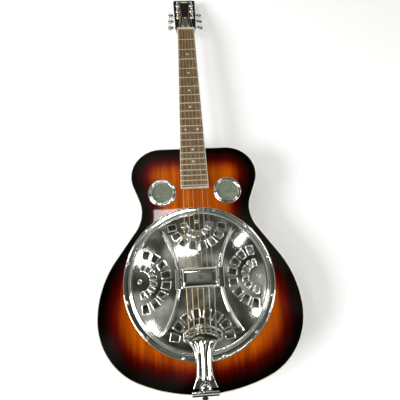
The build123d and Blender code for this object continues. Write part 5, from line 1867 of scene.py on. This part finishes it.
    def boss(self) -> Object:
        """The round boss over the stem's foot: a ring, a groove and a low dome.

        Returns:
            The boss.
        """
        r = self.boss_radius
        profile = [
            (r, -0.5), (r, 1.1), (r - 0.5, 1.6), (r - 1.6, 1.7), (r - 2.2, 1.2), (r - 2.7, 1.1),
            (r - 3.2, 1.5)
        ]
        profile += [(r - 4.5, 2.2), (r - 6.5, 2.8), (r - 8.5, 3.1), (0.05, 3.15)]
        points, faces = lathe(profile, 48)
        points[:, 1] += LAYOUT.tail_y + self.boss_inset - LAYOUT.comb_front_y
        points[:, 2] += self.stem_thickness
        return mesh_piece(
            "tailpiece_boss", LAYOUT.comb.at(points), faces, self.palette["coverplate_chrome"], 35
        )

    def build(self) -> None:
        """Make the tailpiece and dress its bracket."""
        for piece in (self.comb(), self.stem(), self.knuckle(), self.boss()):
            self.fit(piece, "tailpiece", "coverplate_chrome", "tailpiece")
        self.dress("hardware_chrome", "tail_bracket", "bracket_screws")
        self.dress("steel", "hinge_pin")
        self.dress("black_plastic", "end_button")


# ---- neck
@dataclass
class Neck(Assembly):
    """The neck: bound rosewood board, nickel-silver frets, pearl dots, nut and black headstock."""

    fret_width: float = 2.4
    fret_height: float = 1.1
    fret_inset: float = 1.5
    bead: float = 0.25

    def frets(self) -> Object:
        """Seat the frets: each space is the one before it over the twelfth root of two.

        Returns:
            One piece with all the frets.
        """
        half, rise = self.fret_width / 2, self.fret_height
        half_length = LAYOUT.nut_width / 2 - self.fret_inset + 1.2
        section = [(-half, -0.3), (-half, 0.15)]
        section += [(-half * cos(a), 0.15 + (rise - 0.15) * sin(a)) for a in np.linspace(0.35, pi - 0.35, 7)]
        section += [(half, 0.15), (half, -0.3)]
        count = len(section)
        points, faces = [], []
        for x, shrink in (
            (-half_length, 0.45), (-half_length + 0.7, 1.0), (half_length - 0.7, 1.0), (half_length, 0.45)
        ):
            points += [(x, y, z * shrink if z > 0 else z) for y, z in section]
        faces += grid_faces(4, count, loop=True)
        faces += [tuple(range(count)), tuple(3 * count + k for k in range(count))[::-1]]
        master = mesh_piece("fret_master", np.array(points), faces, self.palette["fret_wire"], 35)
        rule = Pattern("fret_rule")
        part = rule.size("Part", master, "NodeSocketObject")
        scale_length = rule.size("Scale length", LAYOUT.scale_length * MM)
        nut_width = rule.size("Nut width", LAYOUT.nut_width * MM)
        widening = rule.size("Widening", (LAYOUT.heel_width - LAYOUT.nut_width) / LAYOUT.join)
        count_in = rule.size("Frets", LAYOUT.fret_count, "NodeSocketInt")

        number = rule.maths("ADD", rule.add("GeometryNodeInputIndex"), 1.0)
        halving = rule.maths("POWER", 2.0, rule.maths("DIVIDE", number, -12.0))
        distance = rule.maths("MULTIPLY", scale_length, rule.maths("SUBTRACT", 1.0, halving))
        seat = rule.add("ShaderNodeCombineXYZ", {"Y": rule.maths("MULTIPLY", distance, -1.0)})
        line = rule.add("GeometryNodeMeshLine", {"Count": count_in}, {"Offset": (0, 0, 0)})
        seats = rule.add("GeometryNodeSetPosition", {"Geometry": line, "Position": seat})
        wide = rule.maths("DIVIDE", rule.maths("MULTIPLY_ADD", distance, widening, nut_width), nut_width)
        stretch = rule.add("ShaderNodeCombineXYZ", {"X": wide}, {"Y": 1.0, "Z": 1.0})
        shape = add(rule.tree, "GeometryNodeObjectInfo", {"Object": part}).outputs["Geometry"]
        copies = rule.add(
            "GeometryNodeInstanceOnPoints", {"Points": seats, "Instance": shape, "Scale": stretch}
        )
        piece = rule.make("seated_frets", copies, self.palette["fret_wire"], crease=35)
        bpy.data.objects.remove(master)
        board = LAYOUT.neck
        move = board.matrix(0, 0, LAYOUT.board_thickness)
        piece.data.transform(move)
        return piece

    def build(self) -> None:
        """Seat the frets and dress the rest of the neck."""
        self.fit(self.frets(), "guitar", "fret_wire", "frets")
        self.dress("neck_wood", "neck", "extension_wedge")
        self.dress("steel", "truss_rod")
        self.dress("black_plastic", "truss_rod_cover")
        self.dress("nut_bone", "truss_cover_screws", "nut")
        self.dress("headstock_black", "headstock_veneer")
        self.dress("green_pearl", "headstock_inlay")
        self.dress("rosewood", "fingerboard")
        self.dress("cream_binding", "fingerboard_binding")
        self.dress("pearl", "position_dots")


# ---- tuners and strings
@dataclass
class Tuners(Assembly):
    """Six tuners: posts with the strings' wraps, shafts with oval buttons, and gear housings."""

    thickness: float = 14.0
    housing_height: float = 12.0
    gear_radius: float = 7.0
    gear_thickness: float = 5.0
    post_height: float = 12.0
    worm_radius: float = 2.9
    worm_offset: float = 10.05
    worm_half: float = 6.0
    shaft_radius: float = 2.5
    shaft_depth: float = 20.0
    collar_radius: float = 3.6
    housing_half: float = 9.5
    reach: float = 49.5
    knob_length: float = 15.0
    knob_width: float = 20.0
    knob_thickness: float = 10.0
    knob_squareness: float = 0.7
    knob_dish: float = 0.96
    wrap_base: float = 5.0
    wraps: float = 3.0

    def post(self, number: int) -> Object:
        """Turn one post with its gear, a plain shaft for the wraps and a rounded head with a small hole sunk
        in its top.

        Args:
            number: The string's number.
        Returns:
            The piece.
        """
        side, along = LAYOUT.tuner(number)
        r = LAYOUT.post_radius
        gear_top = -self.thickness - (self.housing_height - self.gear_thickness) / 2
        gear_low = gear_top - self.gear_thickness
        top = LAYOUT.veneer + self.post_height
        profile = [
            (r, gear_low - 0.8), (r, gear_low), (self.gear_radius, gear_low), (self.gear_radius, gear_top)
        ]
        profile += [(r, gear_top), (r, 3.4), (r, top - 2.0), (r + 0.0, top - 1.2), (r - 0.25, top - 0.5)]
        profile += [(r - 0.7, top - 0.12), (r - 1.2, top), (0.9, top), (0.85, top - 1.1), (0.02, top - 1.2)]
        points, faces = lathe(profile, 36)
        points[:, :2] += (side * LAYOUT.post_x, along)
        return mesh_piece(
            f"string_post_{number}", LAYOUT.head.at(points), faces, self.palette["hardware_chrome"], 40
        )

    def wrap(self, number: int) -> Object:
        """Wind the string's turns round its post, as a spiral of its own wire.

        Args:
            number: The string's number.
        Returns:
            The piece.
        """
        side, along = LAYOUT.tuner(number)
        radius = LAYOUT.string_diameters[number - 1] / 2
        row = (along - LAYOUT.tuner_first) / LAYOUT.tuner_pitch
        low = self.wrap_base + row + radius
        slot = "plain_string" if number <= 2 else "wound_string"
        coil = Pattern(f"post_wrap_{number}")
        around = coil.size("Around", (LAYOUT.post_radius + radius) * MM)
        thin = coil.size("Wire radius", radius * MM)
        height = coil.size("Height", (2 * self.wraps - 2) * radius * MM)
        turns = coil.size("Turns", self.wraps)
        line = coil.add(
            "GeometryNodeCurveSpiral",
            {"Rotations": turns, "Start Radius": around, "End Radius": around, "Height": height},
            {"Resolution": 28},
        )
        section = coil.add("GeometryNodeCurvePrimitiveCircle", {"Radius": thin}, {"Resolution": 8})
        tube = coil.add(
            "GeometryNodeCurveToMesh", {"Curve": line, "Profile Curve": section}, {"Fill Caps": True}
        )
        piece = coil.make(f"string_wrap_{number}", tube, self.palette[slot], crease=60)
        piece.data.transform(LAYOUT.head.matrix(side * LAYOUT.post_x, along, low))
        return piece

    def button(self, number: int) -> Object:
        """Shape one button: a waisted collar and a pressed oval knob on its shaft.

        Args:
            number: The string's number.
        Returns:
            The piece.
        """
        side, along = LAYOUT.tuner(number)
        start = self.reach - self.knob_length - LAYOUT.post_x
        end = self.reach - LAYOUT.post_x
        rows = [
            (-self.worm_half, self.worm_radius, self.worm_radius),
            (self.worm_half, self.worm_radius, self.worm_radius),
            (self.worm_half + 0.01, self.shaft_radius, self.shaft_radius),
            (self.housing_half + 0.3, self.shaft_radius, self.shaft_radius),
            (self.housing_half + 0.31, self.collar_radius, self.collar_radius),
            (self.housing_half + 1.2, self.collar_radius, self.collar_radius),
            (self.housing_half + 2.2, 2.9, 2.9),
            (start - 1.0, 2.7, 2.7),
            (start, 3.1, 2.9),
        ]
        half_w, half_t = self.knob_width / 2, self.knob_thickness / 2
        for share in (0.04, 0.12, 0.24, 0.38, 0.52, 0.66, 0.78, 0.88, 0.95, 0.985, 1.0):
            swell = sin(min(1.0, share * 2.3) * pi / 2) ** 0.7
            close = sqrt(max(0.0, 1 - max(0.0, (share - 0.74) / 0.26) ** 2.4))
            wide = max(0.12, (3.1 + (half_w - 3.1) * swell) * (0.7 + 0.3 * close))
            thick = max(0.1, (2.9 + (half_t - 2.9) * swell) * close)
            dish = self.knob_dish if 0.3 < share < 0.85 else 1.0
            rows.append((start + (end - start) * share, wide, thick * dish))
        sides = 36
        turn = np.linspace(0, 2 * pi, sides, endpoint=False)
        rings = []
        for x, wide, thick in rows:
            c, s = np.cos(turn), np.sin(turn)
            rings.append(
                np.c_[
                    np.full(sides, side * (x + LAYOUT.post_x)),
                    along - self.worm_offset + wide * np.sign(c) * np.abs(c) ** self.knob_squareness,
                    -self.shaft_depth + thick * np.sign(s) * np.abs(s) ** self.knob_squareness
                ]
            )
        faces: list = grid_faces(len(rings), sides, loop=True)
        faces += [tuple(range(sides)), tuple((len(rings) - 1) * sides + k for k in range(sides))]
        return mesh_piece(
            f"tuner_knob_{number}", LAYOUT.head.at(np.vstack(rings)), faces, self.palette["hardware_chrome"],
            45
        )

    def bushings(self) -> Object:
        """Turn the flanged bushings and press one round each post.

        Returns:
            One piece with all six.
        """
        profile = [(4.5, -8.2), (4.5, 1.8), (6.0, 1.8), (6.0, 2.5), (5.6, 3.1), (4.9, 3.3), (3.08, 3.3)]
        loop = profile + [(3.08, -8.2), profile[0]]
        faces = grid_faces(len(loop), 36, loop=True)
        chrome = self.palette["hardware_chrome"]
        master = mesh_piece("bushing_master", ring_rows(loop, 36), faces, chrome, 35)
        places = []
        for number in range(1, 7):
            side, along = LAYOUT.tuner(number)
            places.append(LAYOUT.head.matrix(side * LAYOUT.post_x, along, 0))
        return seat_copies("post_bushings", master, places, self.palette["hardware_chrome"])

    def build(self) -> None:
        """Make the posts, wraps, buttons and bushings and dress the housings."""
        for number in range(1, 7):
            self.fit(self.post(number), f"post_{number}", "hardware_chrome", f"tuner_post_{number}")
            slot = "plain_string" if number <= 2 else "wound_string"
            self.fit(self.wrap(number), f"post_{number}", slot)
            self.fit(self.button(number), f"button_{number}", "hardware_chrome", f"tuner_button_{number}")
        self.fit(self.bushings(), "guitar", "hardware_chrome", "tuner_bushings")
        self.dress("hardware_chrome", "tuner_housings", "tuner_screws")


@dataclass
class Strings(Assembly):
    """The six strings: two of plain steel and four wound with bronze."""

    plain: int = 2

    def build(self) -> None:
        """Dress each string by its kind."""
        for number in range(1, len(LAYOUT.string_diameters) + 1):
            self.dress("plain_string" if number <= self.plain else "wound_string", f"string_{number}")


# ---- studio
@dataclass
class Softbox:
    """A soft studio lamp with a plain rectangular face."""

    name: str
    place: tuple[float, float, float]
    aim: tuple[float, float, float]
    size: tuple[float, float]
    power: float
    tint: str = "#ffffff"

    def hang(self) -> None:
        """Hang the lamp and point it at its aim."""
        lamp = bpy.data.lights.new(self.name, "AREA")
        lamp.shape = "RECTANGLE"
        lamp.size, lamp.size_y = (s * MM for s in self.size)
        lamp.energy = self.power
        lamp.color = linear(self.tint)[:3]
        obj = link_to_scene(bpy.data.objects.new(self.name, lamp))
        place = Vector(self.place) * MM
        obj.location = place
        obj.rotation_euler = (Vector(self.aim) * MM - place).to_track_quat("-Z", "Y").to_euler()


@dataclass
class Studio:
    """The plain pale floor, the soft lamps and the camera."""

    camera: tuple[float, float, float] = (-20.7, -75.8, 761.6)
    yaw: float = radians(7.26)
    pitch: float = radians(70.26)
    roll: float = radians(4.29)
    lens: float = 30.33
    floor_flat: float = 3200.0
    wall_bend: float = 1900.0
    floor_glow: float = 0.3
    room_dark: str = "#24251f"
    room: str = "#4a4b40"
    room_pale: str = "#b2b4aa"
    lamps: tuple[Softbox, ...] = (
        Softbox("window_far", (-2600, -900, 2000), (0, 100, 0), (1600, 1200), 95),
        Softbox("key_left", (-640, -470, 1500), (0, 0, 50), (150, 90), 0.9),
        Softbox("lamp_upper_left", (-740, 500, 1500), (0, 0, 50), (190, 170), 2.0),
        Softbox("strip_head", (-112, 562, 1500), (-112, 562, 0), (236, 105), 1.9),
        Softbox("spark_right", (845, -323, 1500), (0, 0, 50), (70, 120), 0.5),
        Softbox("spark_upper_right", (693, 725, 1500), (0, 0, 50), (60, 190), 0.65),
        Softbox("fill_right", (1150, -200, 1300), (0, 0, 50), (300, 500), 4),
    )

    def floor(self) -> None:
        """Lay the pale paper floor, which bends up into a wall all round."""
        z = cad_box[0][2] / MM
        section = [(r, z) for r in (1.0, 600.0, 1500.0, self.floor_flat)]
        for angle in np.linspace(0, pi / 2, 16)[1:]:
            rise = self.wall_bend * (1 - cos(angle))
            section.append((self.floor_flat + self.wall_bend * sin(angle), z + rise))
        faces: list = [tuple(reversed(f)) for f in grid_faces(len(section), 96, loop=True)]
        faces.append(tuple(range(96)))
        points = ring_rows(section, 96)
        material = bpy.data.materials.new("white_paper_floor")
        material.use_nodes = True
        tree = material.node_tree
        tree.nodes.clear()
        place = add(tree, "ShaderNodeTexCoord").outputs["Object"]
        fibre = feed(
            tree, "ShaderNodeTexNoise", {"Vector": place}, {"Scale": size_to_scale(2.0), "Detail": 3.0}
        )
        colour = feed(tree, "ShaderNodeValToRGB", {0: fibre}, ramp=((0.3, "#f8f8f8"), (0.7, "#fdfdfd")))
        shader = add(
            tree,
            "ShaderNodeBsdfPrincipled",
            {"Base Color": colour},
            {
                "Roughness": 0.9, "IOR": 1.45, "Emission Color": linear("#ffffff"),
                "Emission Strength": self.floor_glow
            },
        )
        add(tree, "ShaderNodeOutputMaterial", {"Surface": shader.outputs[0]})
        floor = mesh_sheet("studio_floor", points, faces, material)

    def aim(self) -> None:
        """Set up the camera."""
        ahead = Vector((sin(self.yaw) * cos(self.pitch), cos(self.yaw) * cos(self.pitch), -sin(self.pitch)))
        level = ahead.cross(Vector((0, 0, 1))).normalized()
        above = level.cross(ahead)
        right = level * cos(self.roll) + above * sin(self.roll)
        up = above * cos(self.roll) - level * sin(self.roll)
        turn = Matrix((right, up, -ahead)).transposed().to_4x4()
        data = bpy.data.cameras.new("studio_camera")
        data.lens = self.lens
        data.sensor_width = 36.0
        data.clip_start, data.clip_end = 0.01, 50.0
        camera = link_to_scene(bpy.data.objects.new("studio_camera", data))
        camera.matrix_world = Matrix.Translation(Vector(self.camera) * MM) @ turn
        bpy.context.scene.camera = camera

    def light(self) -> None:
        """Light the room with a dim, uneven surround and the lamps."""
        world = bpy.data.worlds.new("studio_room")
        world.use_nodes = True
        world.node_tree.nodes.clear()
        way = add(world.node_tree, "ShaderNodeTexCoord").outputs["Generated"]
        corners = feed(
            world.node_tree, "ShaderNodeTexNoise", {"Vector": way},
            {"Scale": 3.2, "Detail": 2.0, "Distortion": 0.6}
        )
        room = feed(
            world.node_tree,
            "ShaderNodeValToRGB",
            {0: corners},
            ramp=((0.36, self.room_dark), (0.52, self.room), (0.66, self.room_pale)),
        )
        glow = add(world.node_tree, "ShaderNodeBackground", {"Color": room}, {"Strength": 1.0})
        add(world.node_tree, "ShaderNodeOutputWorld", {"Surface": glow.outputs[0]})
        bpy.context.scene.world = world
        for lamp in self.lamps:
            lamp.hang()
        bpy.context.scene.view_settings.view_transform = "Standard"

    def build(self) -> None:
        """Lay the floor, hang the lamps and aim the camera."""
        self.floor()
        self.light()
        self.aim()


def main() -> None:
    """Build every sub-assembly in order."""
    logging.basicConfig(level=logging.INFO, format="%(name)s %(message)s")
    Studio().build()
    palette = Palette()
    for kind in (Body, Coverplate, Handrest, Screens, Tailpiece, Neck, Tuners, Strings):
        assembly = kind(palette)
        assembly.build()
        log.info("%s done, %d own pieces", kind.__name__, len(assembly.pieces))


if __name__ == "__main__":
    main()
